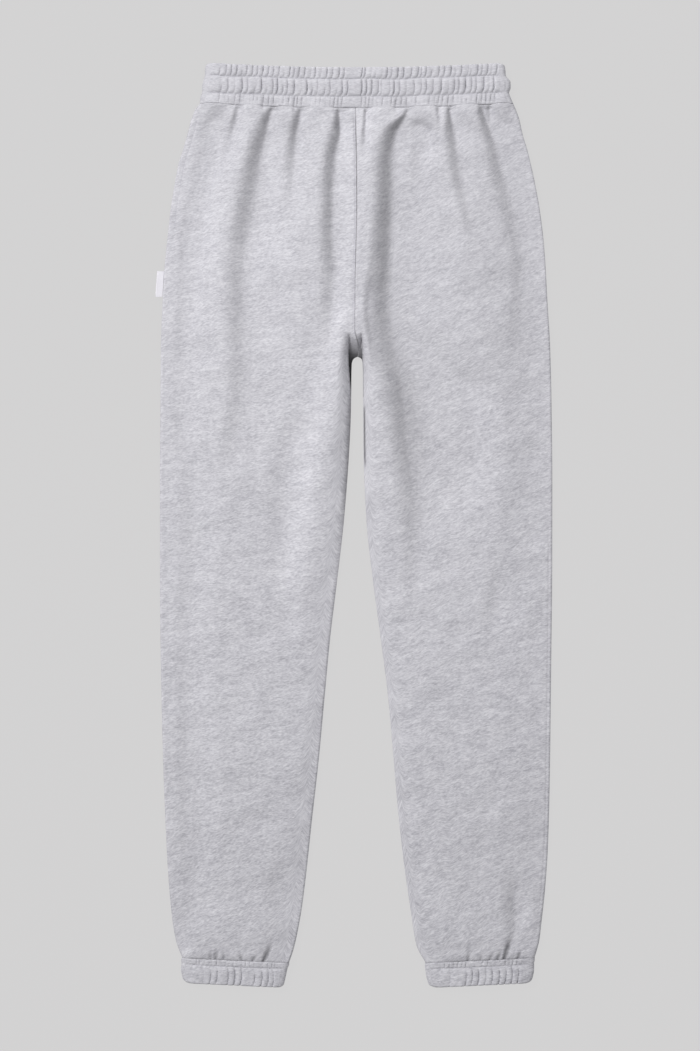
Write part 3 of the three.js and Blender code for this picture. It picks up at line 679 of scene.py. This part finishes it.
def seam_reliefs(side, x, y):
    """Grooves beside the centre seam and at the side seam, and the tucks at the waist and cuff seams."""
    from_edge = {"inner": np.abs(x - inner_edge(side, y)), "outer": np.abs(x - outline[side](y))}
    from_inner = from_edge["inner"]
    seat = 1 - smooth(parted_at(y), 0.1, 0.7)
    fading = 0.45 + 0.55 * smooth(y, *SEAM_FADING_LEVELS)
    groove = 0.7 * bell(from_inner, 0.8) * seat
    shadow = 0.22 * bell(from_inner, 0.7) * seat * fading
    if side == "left":
        stitched = bell(from_inner - SEAT_STITCHES_IN, 0.6) * seat * fading
        groove = groove + 0.4 * stitched
        shadow = np.maximum(shadow, 0.15 * stitched)
    for line in SEAM_LINES[side]:
        drawn = bell(from_edge[line["edge"]] - line["inset"], line["width"])
        drawn = drawn * within(y, line["starts"], line["full"], line["fades"], line["ends"])
        groove = groove + line["depth"] * drawn
        shadow = np.maximum(shadow, line["shade"] * drawn)
    from_waist, from_cuff = y - WAIST_SEAM_Y, y - CUFF_SEAM_Y
    groove = groove + SEAM_TUCK * seam_open(x) * bell(from_waist, 0.8) + CUFF_TUCK * bell(from_cuff, 0.9)
    tucks = np.maximum(SEAM_SHADE * seam_open(x) * bell(from_waist, 0.6), 0.1 * bell(from_cuff, 1.2))
    return groove, np.maximum(shadow, tucks)


def front_surface(side):
    """Places, heights and shade of the front panel's outer face, flat on the surface."""
    y = row_levels()[:, None]
    roll = section["seam"](y) - SEAM_GAP / 2
    parted = parted_at(y)
    steps = FRONT_EDGE_STEPS
    x, outer_angle, inner_angle = section_columns(side, y, roll, roll, steps, steps, FRONT_MIDDLE_STEPS)
    rising = np.cos(inner_angle) * (1 - parted**2) + (1 - np.sin(inner_angle)) * parted**2
    z = np.zeros(x.shape)
    z[:, :steps + 1] = roll * (1 - np.sin(outer_angle))
    z[:, -steps - 1:] = roll * parted * rising
    return x, np.broadcast_to(y, x.shape), z, settled(side, x, y), np.ones(x.shape)


def inner_face(side, x, z, y, up):
    """Each outer point moved in by the cloth, square to the section."""
    dx = np.gradient(x, axis=1)
    dz = np.gradient(z, axis=1)
    length = np.hypot(dx, dz)
    downward = up * np.sign(dx.sum(axis=1, keepdims=True))
    inside_x = x + CLOTH * dz / length * downward
    inside_z = z - CLOTH * dx / length * downward
    turn = parted_at(y[:, 0]) * math.pi / 2
    inside_x[:, 0] = x[:, 0] - sign(side) * CLOTH
    inside_z[:, 0] = z[:, 0]
    inside_x[:, -1] = x[:, -1] + sign(side) * CLOTH * np.sin(turn)
    inside_z[:, -1] = z[:, -1] - up * CLOTH * np.cos(turn)
    return inside_x, inside_z


def in_scene(name, data):
    """A new object in the scene."""
    obj = bpy.data.objects.new(name, data)
    bpy.context.scene.collection.objects.link(obj)
    return obj


def make_mesh(name, points, faces, flow, shade=None):
    """A smooth object that keeps its places in the cloth and its shade as attributes of its points."""
    mesh = bpy.data.meshes.new(name)
    mesh.from_pydata((points * MM).tolist(), [], faces)
    mesh.update()
    mesh.polygons.foreach_set("use_smooth", [True] * len(mesh.polygons))
    mesh.set_sharp_from_angle(angle=math.radians(SHARP_ANGLE))
    shade = np.ones(len(points)) if shade is None else shade
    attributes = (("flow", "FLOAT_VECTOR", "vector", flow), ("shade", "FLOAT", "value", shade))
    for kept, kind, field, values in attributes:
        attribute = mesh.attributes.new(kept, kind, "POINT")
        attribute.data.foreach_set(field, values.astype(np.float32).ravel())
    return in_scene(name, mesh)


def grid_faces(rows, count, loop):
    """Quads between rings of points, each ring closed on itself."""
    base = np.arange(count)
    following = (base + 1) % count
    faces = []
    for r in range(rows if loop else rows - 1):
        here = r * count
        there = ((r + 1) % rows) * count
        quads = np.stack([here + base, there + base, there + following, here + following], axis=1)
        faces.extend(quads.tolist())
    return faces


def shell_faces(rows, count, kept):
    """Faces of a shell whose rings run along its outer face, and back at the kept columns inside."""
    faces = grid_faces(rows, count, loop=False)
    last_row = (rows - 1) * count
    for k in range(len(kept) - 1):
        edge = [*range(kept[k], kept[k + 1] + 1), count - 2 - k, count - 1 - k]
        faces += [edge, [last_row + i for i in reversed(edge)]]
    return faces


def outward(points, faces):
    """The faces, turned over if the body they close has a negative volume."""
    corners = np.array([face[:3] for face in faces])
    last = np.array([[face[0], face[2], face[3]] for face in faces if len(face) > 3])
    triangles = np.concatenate([corners, last])
    a, b, c = (points[triangles[:, i]] for i in range(3))
    volume = np.einsum("ij,ij->i", a, np.cross(b, c)).sum()
    return faces if volume > 0 else [face[::-1] for face in faces]


def cumulated(steps, axis):
    """Running totals of steps, with a zero in front."""
    total = np.cumsum(steps, axis=axis)
    first = np.zeros_like(np.take(total, [0], axis=axis))
    return np.concatenate([first, total], axis=axis)


def cloth_places(side, x, placed, z):
    """Where each point lies in the cloth before it was gathered: across, and down from the waist."""
    across = cumulated(np.hypot(np.diff(x, axis=1), np.diff(z, axis=1)), axis=1)
    direction = np.sign(x[:, -1:] - x[:, :1])
    middle = x.shape[1] // 2
    across = direction * (across - across[:, middle:middle + 1]) + x[:, middle:middle + 1]
    down = cumulated(np.hypot(np.diff(placed, axis=0), np.diff(z, axis=0)), axis=0)
    level = placed[:1] - down
    slope = np.tan(np.radians(stroke_angle[side](placed)))
    return across, level - (across - LEG_MIDDLE_X * sign(side)) * slope


def panel(name, side, surface, up, seed, stride):
    """One leg panel as a closed shell: its outer face, and an inner face with fewer columns."""
    x, y, z, placed, shade = surface(side)
    inside_x, inside_z = inner_face(side, x, z, y, up)
    across, level = cloth_places(side, x, placed, z)
    flow = np.stack([across, level, np.full(x.shape, seed)], axis=2)
    kept = np.unique(np.append(np.arange(0, x.shape[1], stride), x.shape[1] - 1))
    outer = np.stack([x, placed, z], axis=2)
    inner = np.stack([inside_x, settled(side, x, y), inside_z], axis=2)
    ring, ring_flow, ring_shade = (beside(out, inside[:, kept][:, ::-1])
                                   for out, inside in ((outer, inner), (flow, flow), (shade, shade)))
    ring[0, :, 1] -= SEAM_GAP / 2
    ring[-1, :, 1] += SEAM_GAP / 2
    rows, count = ring.shape[:2]
    points = ring.reshape(-1, 3)
    faces = outward(points, shell_faces(rows, count, kept))
    return make_mesh(name, points, faces, ring_flow.reshape(-1, 3), ring_shade.reshape(-1))


def gathers(row, strong, stretches, seed):
    """One row's gathers as place, strength, start and stop: the strong ones, and weaker ones between."""
    rng = np.random.default_rng(seed)
    found = []
    for first, last in stretches:
        inside = [place for place in strong if first < place < last]
        marks = [first, *inside, last]
        found.extend([(first, 0.0, 0.0, 1.0), (last, 0.0, 0.0, 1.0)])
        for place in inside:
            start, stop = row["broken"] * rng.uniform(-1, 0.8), 1 - row["broken"] * rng.uniform(-1, 0.3)
            found.append((place, rng.uniform(0.8, 1.1), start, stop))
        for a, b in zip(marks[:-1], marks[1:]):
            count = int(round((b - a) / row["pitch"])) - 1
            for k in range(count):
                place = a + (b - a) * (k + 1 + rng.uniform(-0.22, 0.22)) / (count + 1)
                strength = row["weak"] * rng.uniform(0.3, 1.6)
                stop = rng.uniform(0.4, 0.6) if rng.uniform() < 0.3 else 1.0
                found.append((place, strength, 0.0, stop))
    return np.array(sorted(found)).T


def row_relief(row, gathered, seed, x, level, open_start, open_end):
    """Height and shadow of one gathered row over its lines of stitching, 0 outside the row."""
    relief = np.zeros(x.shape)
    shadow = np.zeros(x.shape)
    places, strengths, starts, stops = gathered
    held = strengths == 0
    rng = np.random.default_rng(seed + 50)
    tilt = np.where(held, 0, row["lean"] + rng.uniform(-0.6, 0.6, len(places)))
    for i, value in enumerate(level[:, 0]):
        t = (value - row["from"]) / (row["to"] - row["from"])
        if t < 0 or t > 1:
            continue
        half = 0 if (open_start and t < 0.5) or (open_end and t > 0.5) else abs(2 * t - 1)
        risen = float(smooth(t, -0.12, 0.5)) if open_start else 1
        drift = row["bow"] * math.sin(math.pi * t) - row["hook"] * max(0, 0.35 - t) ** 2 / 0.12
        path = places + tilt * (t - 0.5) + np.where(held, 0, drift + GATHER_SHIFT)
        path = np.maximum.accumulate(path + np.arange(len(path)) * 1e-6)
        present = smooth(t - starts, -0.15, 0.15) if row["broken"] else 1
        strength = strengths * present * (1 - smooth(t - stops, -0.15, 0.15) * (stops < 1))
        right = np.clip(np.searchsorted(path, x[i]), 1, len(path) - 1)
        left = right - 1
        gap = np.maximum(path[right] - path[left], 0.2)
        s = np.clip((x[i] - path[left]) / gap, 0, 1)
        deep = np.clip(strength[left] * (1 - s) + strength[right] * s, 0, 1)
        near = np.minimum(s, 1 - s) * gap
        nearer = np.clip(np.where(s < 0.5, strength[left], strength[right]), 0, 1.1)
        ridge = (4 * s * (1 - s)) ** 0.8
        crown = 0.55 + 0.45 * np.clip(gap / 7, 0, 1)
        closed = 1 - half ** (2.0 + 2.6 * ridge)
        height = row["puff"] * crown * (1 - 0.9 * deep * (1 - ridge))
        height = height - row["depth"] * nearer**1.3 * (1 - rounded(near, 1.2))
        plain = (x[i] < path[0]) | (x[i] > path[-1]) | (held[left] & held[right])
        relief[i] = risen * np.where(plain, 0.8 * row["puff"] * (1 - half**6), height * closed)
        shadow[i] = np.where(plain, 0, nearer**1.3 * (1 - rounded(near, 1.15)))
    return relief, shadow


def strip_lift(x, level):
    """The lowest strip of the waistband rises to the seat where that puffs out."""
    t = np.clip(level / BAND_ROWS[0]["to"], 0, 1)
    return seat_puff(x) * (1 - t) ** 1.2


def casing_section(wall, height):
    """Levels and insets of a casing's wall: up its outside, over the rim, and down its inside."""
    rim = wall / 2
    levels = np.arange(0, height - rim, CASING_STEP)
    turn = np.linspace(0, math.pi, 13)
    level = np.concatenate([levels, height - rim + rim * np.sin(turn), [height * 0.5, 0]])
    inset = np.concatenate([levels * 0, rim - rim * np.cos(turn), [wall, wall]])
    return level[:, None], inset[:, None]


def rows_relief(rows, strong, stretches, seed, x, level):
    """Height, shadow and lines of stitching of all the gathered rows of a casing."""
    lifted, shadow, stitched = (np.zeros(x.shape) for _ in range(3))
    for k, row in enumerate(rows):
        relief, dark = row_relief(row, gathers(row, strong[k], stretches, seed + k), seed + k, x, level,
                                  open_start=k == 0, open_end=k == len(rows) - 1)
        lifted += relief
        shadow = np.maximum(shadow, dark)
        if k > 0:
            stitched = np.maximum(stitched, bell(level - row["from"], 0.6))
    return lifted, shadow, stitched


def casing(name, ends, rows, strong, stretches, size, line_of, seam_at, lift_at, seed, notch, slope):
    """A doubled casing: one flattened ring, gathered on top, with a rounded free edge."""
    thickness, wall, height = size
    radius = thickness / 2
    level, inset = casing_section(wall, height)
    left, right = ends[0](level) + radius, ends[1](level) - radius
    t = np.linspace(0, 1, int((right.max() - left.min()) / CASING_STEP))[None, :]
    top_x = left * (1 - t) + right * t
    row_level = np.minimum(level, height - 0.01)
    lifted, shadow, stitched = rows_relief(rows, strong, stretches, seed, top_x, row_level)
    crumple = undulation(top_x, level, seed, waves=14, shortest=9, longest=40, amplitude=0.09)
    away = smooth(level, 0, 4)
    relief = lifted + crumple * away - 0.4 * away + lift_at(top_x, level)
    tuck, tuck_shade = seam_at(top_x)
    near_end = rounded(np.minimum(top_x - left, right - top_x), 9.0)
    relief = (relief * near_end - tuck * bell(level, 0.8)) * (1 - smooth(inset, 0.2 * wall, 0.8 * wall))
    reach = radius - inset
    turn = np.radians(np.linspace(90, -90, 15))[None, 1:-1]
    under_t = np.linspace(0, 1, 41)[None, :]
    side_z = radius + reach * np.sin(turn)
    x = beside(top_x, right + reach * np.cos(turn), right * (1 - under_t) + left * under_t,
               left - reach * np.cos(turn[:, ::-1]))
    z = beside(radius + reach + relief, side_z, (radius - reach) * np.ones(under_t.shape), side_z[:, ::-1])
    plain = np.ones((x.shape[0], x.shape[1] - top_x.shape[1]))
    dent = notch * (0.9 * shadow + 0.12 * (1.6 - np.clip(lifted, 0, 1.6)))
    dent = dent * smooth(level, height - 1.2 * wall, height)
    y = line_of(x, np.broadcast_to(level, x.shape)) - beside(dent, 0 * plain)
    across = x[:, :1] + cumulated(np.hypot(np.diff(x, axis=1), np.diff(z, axis=1)), axis=1)
    flow = np.stack([across, y - across * slope, np.full(x.shape, seed)], axis=2)
    # Painted shade in the gathers' valleys, along the stitched lines and in the tuck at the seam
    dark = reduce(np.maximum, [GATHER_SHADE * shadow, STITCH_SHADE * stitched, tuck_shade * bell(level, 0.6)])
    dark = dark * (1 - smooth(inset, 0.1 * wall, 0.5 * wall))
    points = np.stack([x, y, z], axis=2).reshape(-1, 3)
    faces = outward(points, grid_faces(*x.shape, loop=True))
    piece = make_mesh(name, points, faces, flow.reshape(-1, 3), beside(1 - dark, plain).reshape(-1))
    return piece, [values[:, :top_x.shape[1]] for values in (x, y, z)]


def waist_seam(x):
    """Depth and shade of the tuck at the waist seam."""
    return SEAM_TUCK * seam_open(x), SEAM_SHADE * seam_open(x)


def cuff_seam(x):
    """Depth and shade of the tuck at a cuff's seam."""
    return CUFF_TUCK * np.ones(x.shape), 0.05 * np.ones(x.shape)


def cuff_lift(x, level):
    """The cuff's strip meets the leg's small puffs at the seam."""
    return 0.25 * (1 - smooth(level, 0, 4)) * np.ones(x.shape)


def waist_line(x, up):
    """Where a place of the waistband lies, at a level above the waist seam."""
    clearance = SEAM_GAP / 2 * (up <= 0)
    ripple = 0.35 * (np.sin(x / 9.7) + np.sin(x / 15.1 + 1.3)) * np.sin(np.pi * up / BAND_HEIGHT)
    sag = WINDOW_SAG * seam_open(x) * (1 - smooth(up, 0, WINDOW_REACH))
    return WAIST_SEAM_Y + up + clearance + ripple - sag - waist_dip(x)


def cuff_line(side):
    outer = outline[side](CUFF_SEAM_Y)
    inner = inner_edge(side, np.array(CUFF_SEAM_Y))

    def line(x, down):
        inward = np.clip((x - outer) / (inner - outer), 0, 1)
        clearance = SEAM_GAP / 2 * (down <= 0)
        sag = 1.2 * (2 * inward - 1) ** 4 * np.sin(np.pi * np.clip(down / 14, 0, 1))
        return CUFF_SEAM_Y - down - clearance - CUFF_TILT * inward + sag

    return line


def label():
    """A tape folded into a loop at the side seam, with nothing on it."""
    half = LABEL_LEAF + LABEL_SLOT / 2
    straight = LABEL_WIDTH - half
    turn = np.radians(np.linspace(90, -90, 15))
    steps = np.linspace(0.15, 0.85, 6)
    slot = LABEL_SLOT / 2
    outer = [(0, half)] + [(straight * t, half) for t in steps]
    outer += [(straight + half * math.cos(a), half * math.sin(a)) for a in turn]
    outer += [(straight * t, -half) for t in steps[::-1]] + [(0, -half)]
    inner = [(0, -slot)] + [(straight * t, -slot) for t in steps]
    inner += [(straight + slot * math.cos(a), slot * math.sin(a)) for a in turn[::-1]]
    inner += [(straight * t, slot) for t in steps[::-1]] + [(0, slot)]
    profile = np.array(outer + inner)
    points, flow = [], []
    root_x = float(outline["left"](LABEL_TOP_Y)) - SEAM_GAP
    root_z = float(section["seam"](LABEL_TOP_Y))
    for r in range(LABEL_ROWS):
        down = r / (LABEL_ROWS - 1)
        lift = 0.5 * math.sin(math.pi * down)
        for out, rise in profile:
            curl = lift * (out / LABEL_WIDTH) ** 2
            x = root_x - out - LABEL_LEAN * down
            y = LABEL_TOP_Y - LABEL_LENGTH * down
            points.append((x, y, root_z + rise + curl))
            flow.append((out, y, 1.0))
    points = np.array(points)
    faces = outward(points, shell_faces(LABEL_ROWS, len(profile), range(len(outer))))
    return make_mesh("label_tape", points, faces, np.array(flow))


def stitches(name, paths):
    """Stitches along paths of points, each a thread that dips into the cloth at both ends."""
    rings, sides = 7, 6
    points, faces = [], []
    for path in paths:
        path = np.asarray(path)
        travelled = cumulated(np.linalg.norm(np.diff(path, axis=0), axis=1), axis=0)
        for start in np.arange(STITCH_PITCH / 2, travelled[-1] - STITCH_LENGTH, STITCH_PITCH):
            base = len(points)
            for r in range(rings):
                t = r / (rings - 1)
                at = start + t * STITCH_LENGTH
                place = np.array([np.interp(at, travelled, path[:, i]) for i in range(3)])
                ahead = np.array([np.interp(at + 0.3, travelled, path[:, i]) for i in range(3)])
                forward = (ahead - place) / max(np.linalg.norm(ahead - place), 1e-9)
                side = np.cross(forward, (0, 0, 1))
                side = side / max(np.linalg.norm(side), 1e-9)
                raised = np.cross(side, forward)
                bow = math.sin(math.pi * t)
                centre = place + raised * THREAD * (0.42 * bow - 0.25)
                girth = THREAD / 2 * (0.55 + 0.45 * bow)
                for k in range(sides):
                    angle = 2 * math.pi * k / sides
                    points.append(centre + girth * (side * math.cos(angle) + raised * math.sin(angle)))
            body = [[base + i for i in face] for face in grid_faces(rings, sides, loop=False)]
            first = [base + k for k in range(sides)]
            last = [base + (rings - 1) * sides + k for k in range(sides)]
            faces.extend(body + [first, last[::-1]])
    points = np.array(points)
    return make_mesh(name, points, outward(points, faces), points.copy())


def level_row(level):
    """The row of a casing's mesh at a level of its outside."""
    return int(round(level / CASING_STEP))


def casing_line(grid, level, x_from, x_to):
    """Points along one level of a gathered face."""
    x, y, z = (part[level_row(level)] for part in grid)
    places = np.arange(x_from, x_to, LINE_STEP)
    return np.stack([places, np.interp(places, x, y), np.interp(places, x, z)], axis=1)


def panel_line(side, place_at, low, high):
    """Points down a back panel, at a place that depends on the level."""
    x, y, z, placed, _ = back_surface(side)
    order = np.argsort(x[0])
    found = []
    for i in np.flatnonzero((y[:, 0] > low) & (y[:, 0] < high)):
        place = place_at(y[i, 0])
        found.append((place, np.interp(place, x[i][order], placed[i][order]),
                      np.interp(place, x[i][order], z[i][order])))
    return found


class Nodes:
    """Shorthand for building one material's nodes."""

    def __init__(self, name):
        self.material = bpy.data.materials.new(name)
        self.material.use_nodes = True
        self.tree = self.material.node_tree
        self.shader = self.tree.nodes["Principled BSDF"]

    def add(self, kind, **values):
        node = self.tree.nodes.new(kind)
        for key, value in values.items():
            setattr(node, key, value)
        return node

    def link(self, source, target):
        self.tree.links.new(source, target)

    def attribute(self, name, output):
        return self.add("ShaderNodeAttribute", attribute_name=name).outputs[output]

    def math(self, operation, a, b=None):
        node = self.add("ShaderNodeMath", operation=operation)
        for socket, value in zip(node.inputs, (a, b)):
            if isinstance(value, (int, float)):
                socket.default_value = value
            elif value is not None:
                self.link(value, socket)
        return node.outputs[0]

    def weighted(self, *parts):
        """The sum of some outputs, each times its weight."""
        total = None
        for output, weight in parts:
            part = self.math("MULTIPLY", output, weight)
            total = part if total is None else self.math("ADD", total, part)
        return total

    def scaled(self, vector, x, y, z=1.0):
        node = self.add("ShaderNodeVectorMath", operation="MULTIPLY")
        self.link(vector, node.inputs[0])
        node.inputs[1].default_value = (x, y, z)
        return node.outputs[0]

    def shaded(self, colour, factor):
        node = self.add("ShaderNodeVectorMath", operation="SCALE")
        self.link(colour, node.inputs[0])
        self.link(factor, node.inputs["Scale"])
        return node.outputs[0]

    def noise(self, vector, detail=2.0, roughness=0.5):
        node = self.add("ShaderNodeTexNoise", noise_dimensions="3D")
        node.inputs["Scale"].default_value = 1.0
        node.inputs["Detail"].default_value = detail
        node.inputs["Roughness"].default_value = roughness
        self.link(vector, node.inputs["Vector"])
        return node.outputs["Fac"]

    def ramp(self, factor, stops):
        node = self.add("ShaderNodeValToRGB")
        ramp = node.color_ramp
        ramp.elements[0].position, ramp.elements[0].color = stops[0][0], (*stops[0][1], 1)
        ramp.elements[1].position, ramp.elements[1].color = stops[-1][0], (*stops[-1][1], 1)
        for position, colour in stops[1:-1]:
            ramp.elements.new(position).color = (*colour, 1)
        self.link(factor, node.inputs["Fac"])
        return node.outputs["Color"]

    def bump(self, height, strength, distance):
        node = self.add("ShaderNodeBump")
        node.inputs["Strength"].default_value = strength
        node.inputs["Distance"].default_value = distance
        self.link(height, node.inputs["Height"])
        self.link(node.outputs["Normal"], self.shader.inputs["Normal"])

    def surface(self, values):
        """Values that are the same all over the surface, on the shader's own sockets."""
        for name, value in values.items():
            self.shader.inputs[name].default_value = value


def linear(red, green, blue):
    """A display colour of 0 to 255 as linear light."""
    found = []
    for value in (red, green, blue):
        v = value / 255
        found.append(v / 12.92 if v <= 0.04045 else ((v + 0.055) / 1.055) ** 2.4)
    return tuple(found)


def fleece(name, tone=1.0):
    """Heather grey marl: short pale and dark fibre strokes that follow the flow of the cloth."""
    nodes = Nodes(name)
    flow = nodes.attribute("flow", "Vector")
    drift = nodes.noise(nodes.scaled(flow, 1 / 16, 1 / 9), detail=1.0)
    wander = nodes.math("MULTIPLY", nodes.math("SUBTRACT", drift, 0.5), 3.6)
    parts = nodes.add("ShaderNodeSeparateXYZ")
    nodes.link(flow, parts.inputs[0])
    bent = nodes.add("ShaderNodeCombineXYZ")
    nodes.link(parts.outputs["X"], bent.inputs["X"])
    nodes.link(nodes.math("ADD", parts.outputs["Y"], wander), bent.inputs["Y"])
    nodes.link(nodes.math("MULTIPLY", parts.outputs["Z"], 13.7), bent.inputs["Z"])
    place = bent.outputs[0]
    strokes = nodes.noise(nodes.scaled(place, 1 / 3.6, 1 / 1.08), detail=2.0, roughness=0.6)
    streaks = nodes.noise(nodes.scaled(place, 1 / 14, 1 / 4.5), detail=1.5)
    clouds = nodes.noise(nodes.scaled(place, 1 / 60, 1 / 40), detail=1.0)
    mixed = nodes.weighted((strokes, 0.66), (streaks, 0.26), (clouds, 0.08))
    # The marl grows a little stronger down the legs
    contrast = nodes.math("ADD", nodes.math("MULTIPLY", parts.outputs["Y"], -0.0003), 1.06)
    mixed = nodes.math("ADD", nodes.math("MULTIPLY", nodes.math("SUBTRACT", mixed, 0.5), contrast), 0.5)
    stops = [(position, [tone * v for v in linear(*colour)]) for position, colour in MARL]
    # The shade attribute scales the colour: painted shade in creases, gathers, seams and the crotch hollow,
    # and the painted highlight on the thigh ridge
    colour = nodes.shaded(nodes.ramp(mixed, stops), nodes.attribute("shade", "Fac"))
    nodes.link(colour, nodes.shader.inputs["Base Color"])
    fibre = nodes.noise(nodes.scaled(place, 1 / 1.4, 1 / 0.5))
    nodes.bump(nodes.weighted((strokes, 0.6), (fibre, 0.4)), 0.25, 0.0004)
    nodes.surface({"Roughness": 0.92, "Specular IOR Level": 0.15, "Sheen Weight": 0.1,
                   "Sheen Roughness": 0.5})
    return nodes.material


def thread(name):
    """Twisted cotton, a little paler than the fleece."""
    nodes = Nodes(name)
    flow = nodes.attribute("flow", "Vector")
    twist = nodes.noise(nodes.scaled(flow, 2.2, 2.2, 2.2), detail=1.0)
    colour = nodes.ramp(twist, [(0.3, linear(172, 171, 180)), (0.7, linear(200, 199, 207))])
    nodes.link(colour, nodes.shader.inputs["Base Color"])
    nodes.bump(twist, 0.3, 0.0002)
    nodes.surface({"Roughness": 0.7})
    return nodes.material


def tape(name):
    """Pale woven tape with fine slanting ribs."""
    nodes = Nodes(name)
    flow = nodes.attribute("flow", "Vector")
    weave = nodes.add("ShaderNodeTexWave", wave_type="BANDS", bands_direction="DIAGONAL")
    weave.inputs["Scale"].default_value = 0.7
    weave.inputs["Distortion"].default_value = 0.6
    nodes.link(flow, weave.inputs["Vector"])
    spots = nodes.noise(nodes.scaled(flow, 1.1, 1.1))
    tone = nodes.weighted((weave.outputs["Fac"], 0.4), (spots, 0.6))
    colour = nodes.ramp(tone, [(0.2, linear(211, 209, 216)), (0.8, linear(228, 226, 233))])
    nodes.link(colour, nodes.shader.inputs["Base Color"])
    nodes.bump(weave.outputs["Fac"], 0.3, 0.0001)
    nodes.surface({"Roughness": 0.6})
    return nodes.material


def plain_floor(name):
    """Pale and lit mostly from within, so that it stays as even as a seamless ground."""
    nodes = Nodes(name)
    place = nodes.add("ShaderNodeTexCoord").outputs["Object"]
    grain = nodes.noise(nodes.scaled(place, 700, 700, 700), detail=1.0)
    colour = nodes.ramp(grain, [(position, (grey, grey, grey)) for position, grey in FLOOR_GREYS])
    nodes.link(colour, nodes.shader.inputs["Base Color"])
    nodes.surface({"Roughness": 1.0, "Specular IOR Level": 0.0, "Emission Color": FLOOR_GLOW,
                   "Emission Strength": FLOOR_GLOW_STRENGTH})
    return nodes.material


def dress(obj, material, slot, *replaced):
    obj.data.materials.append(material)
    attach(obj, "root")
    if replaced:
        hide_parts(*replaced)
    return obj


def build_camera():
    data = bpy.data.cameras.new("camera")
    data.lens = 85
    data.sensor_width = 36
    data.clip_end = 20
    camera = in_scene("camera", data)
    camera.location = (-0.0042, 0, 2.73)
    bpy.context.scene.camera = camera


def area_light(name, place, size, energy):
    """A square soft box that looks at the middle of the garment."""
    data = bpy.data.lights.new(name, "AREA")
    data.shape = "SQUARE"
    data.size = size
    data.energy = energy
    lamp = in_scene(name, data)
    lamp.location = place
    x, y, z = place
    lamp.rotation_euler = (math.atan2(math.hypot(x, y), z), 0, math.atan2(-y, -x) - math.pi / 2)


def build_light():
    area_light("key", (-2.4, 2.0, 3.4), 1.3, 138)
    area_light("top", (0.2, 1.3, 1.1), 0.9, 6.6)
    world = bpy.data.worlds.new("studio")
    world.use_nodes = True
    world.node_tree.nodes["Background"].inputs["Color"].default_value = (1, 1, 1, 1)
    world.node_tree.nodes["Background"].inputs["Strength"].default_value = 0.41
    bpy.context.scene.world = world
    bpy.context.scene.view_settings.view_transform = "Standard"


def build_floor():
    mesh = bpy.data.meshes.new("floor")
    half = FLOOR_HALF
    corners = [(-half, -half, 0), (half, -half, 0), (half, half, 0), (-half, half, 0)]
    mesh.from_pydata(corners, [], [(0, 1, 2, 3)])
    mesh.materials.append(plain_floor("floor"))
    floor = in_scene("floor", mesh)
    floor.location = (0, 0, -FLOOR_BELOW)


def build_panels(body):
    backs = {}
    for seed, side in enumerate(SIDES):
        front = panel(f"front_{side}_cloth", side, front_surface, up=-1, seed=3 + seed, stride=2)
        dress(front, body, "front_fleece", f"front_{side}")
        back = panel(f"back_{side}_cloth", side, back_surface, up=1, seed=1 + seed, stride=INNER_FACE_STRIDE)
        backs[side] = dress(back, body, "back_fleece", f"back_{side}")
    return backs


def build_waistband(cased, cotton):
    ends = (band_end["left"], band_end["right"])
    band, grid = casing("waistband_cloth", ends, BAND_ROWS, BAND_GATHERS, BAND_STRETCHES,
                        (BAND_THICKNESS, BAND_WALL, BAND_HEIGHT), waist_line, waist_seam, strip_lift,
                        seed=20, notch=1, slope=0.06)
    dress(band, cased, "casing_fleece", "waistband")
    paths = [casing_line(grid, row["from"], *BAND_STITCHES) for row in BAND_ROWS[1:]]
    dress(stitches("waistband_stitches", paths), cotton, "casing_fleece")


def build_cuffs(cased, cotton):
    for seed, side in enumerate(SIDES):
        ends = (cuff_end[f"{side}_from"], cuff_end[f"{side}_to"])
        cuff, grid = casing(f"cuff_{side}_cloth", ends, CUFF_ROWS, CUFF_GATHERS[side], CUFF_STRETCHES[side],
                            (CUFF_THICKNESS, CUFF_WALL, CUFF_HEIGHT), cuff_line(side), cuff_seam, cuff_lift,
                            seed=40 + 5 * seed, notch=-1, slope=0.2)
        dress(cuff, cased, "cuff_fleece", f"cuff_{side}")
        level = CUFF_ROWS[1]["from"]
        row = grid[0][level_row(level)]
        path = casing_line(grid, level, row[0] + 1, row[-1] - 1)
        dress(stitches(f"cuff_{side}_stitches", [path]), cotton, "cuff_fleece")


def build_seat_stitches(cotton):
    def beside_seam(y):
        return float(inner_edge("left", y)) - SEAT_STITCHES_IN

    def beside_edge(y):
        return float(outline["left"](y)) + POCKET_STITCHES_IN

    paths = [panel_line("left", beside_seam, HOLLOW_Y + 6, WAIST_SEAM_Y - 3),
             panel_line("left", beside_edge, *POCKET_STITCHES)]
    dress(stitches("seat_stitches", paths), cotton, "back_fleece")


def build_garment():
    body = fleece("fleece")
    cased = fleece("casing_fleece", tone=0.925)
    hemmed = fleece("cuff_fleece", tone=0.99)
    cotton = thread("thread")
    backs = build_panels(body)
    build_waistband(cased, cotton)
    build_cuffs(hemmed, cotton)
    build_seat_stitches(cotton)
    tag = dress(label(), tape("label_tape"), "label_tape", "label")


build_camera()
build_light()
build_floor()
build_garment()
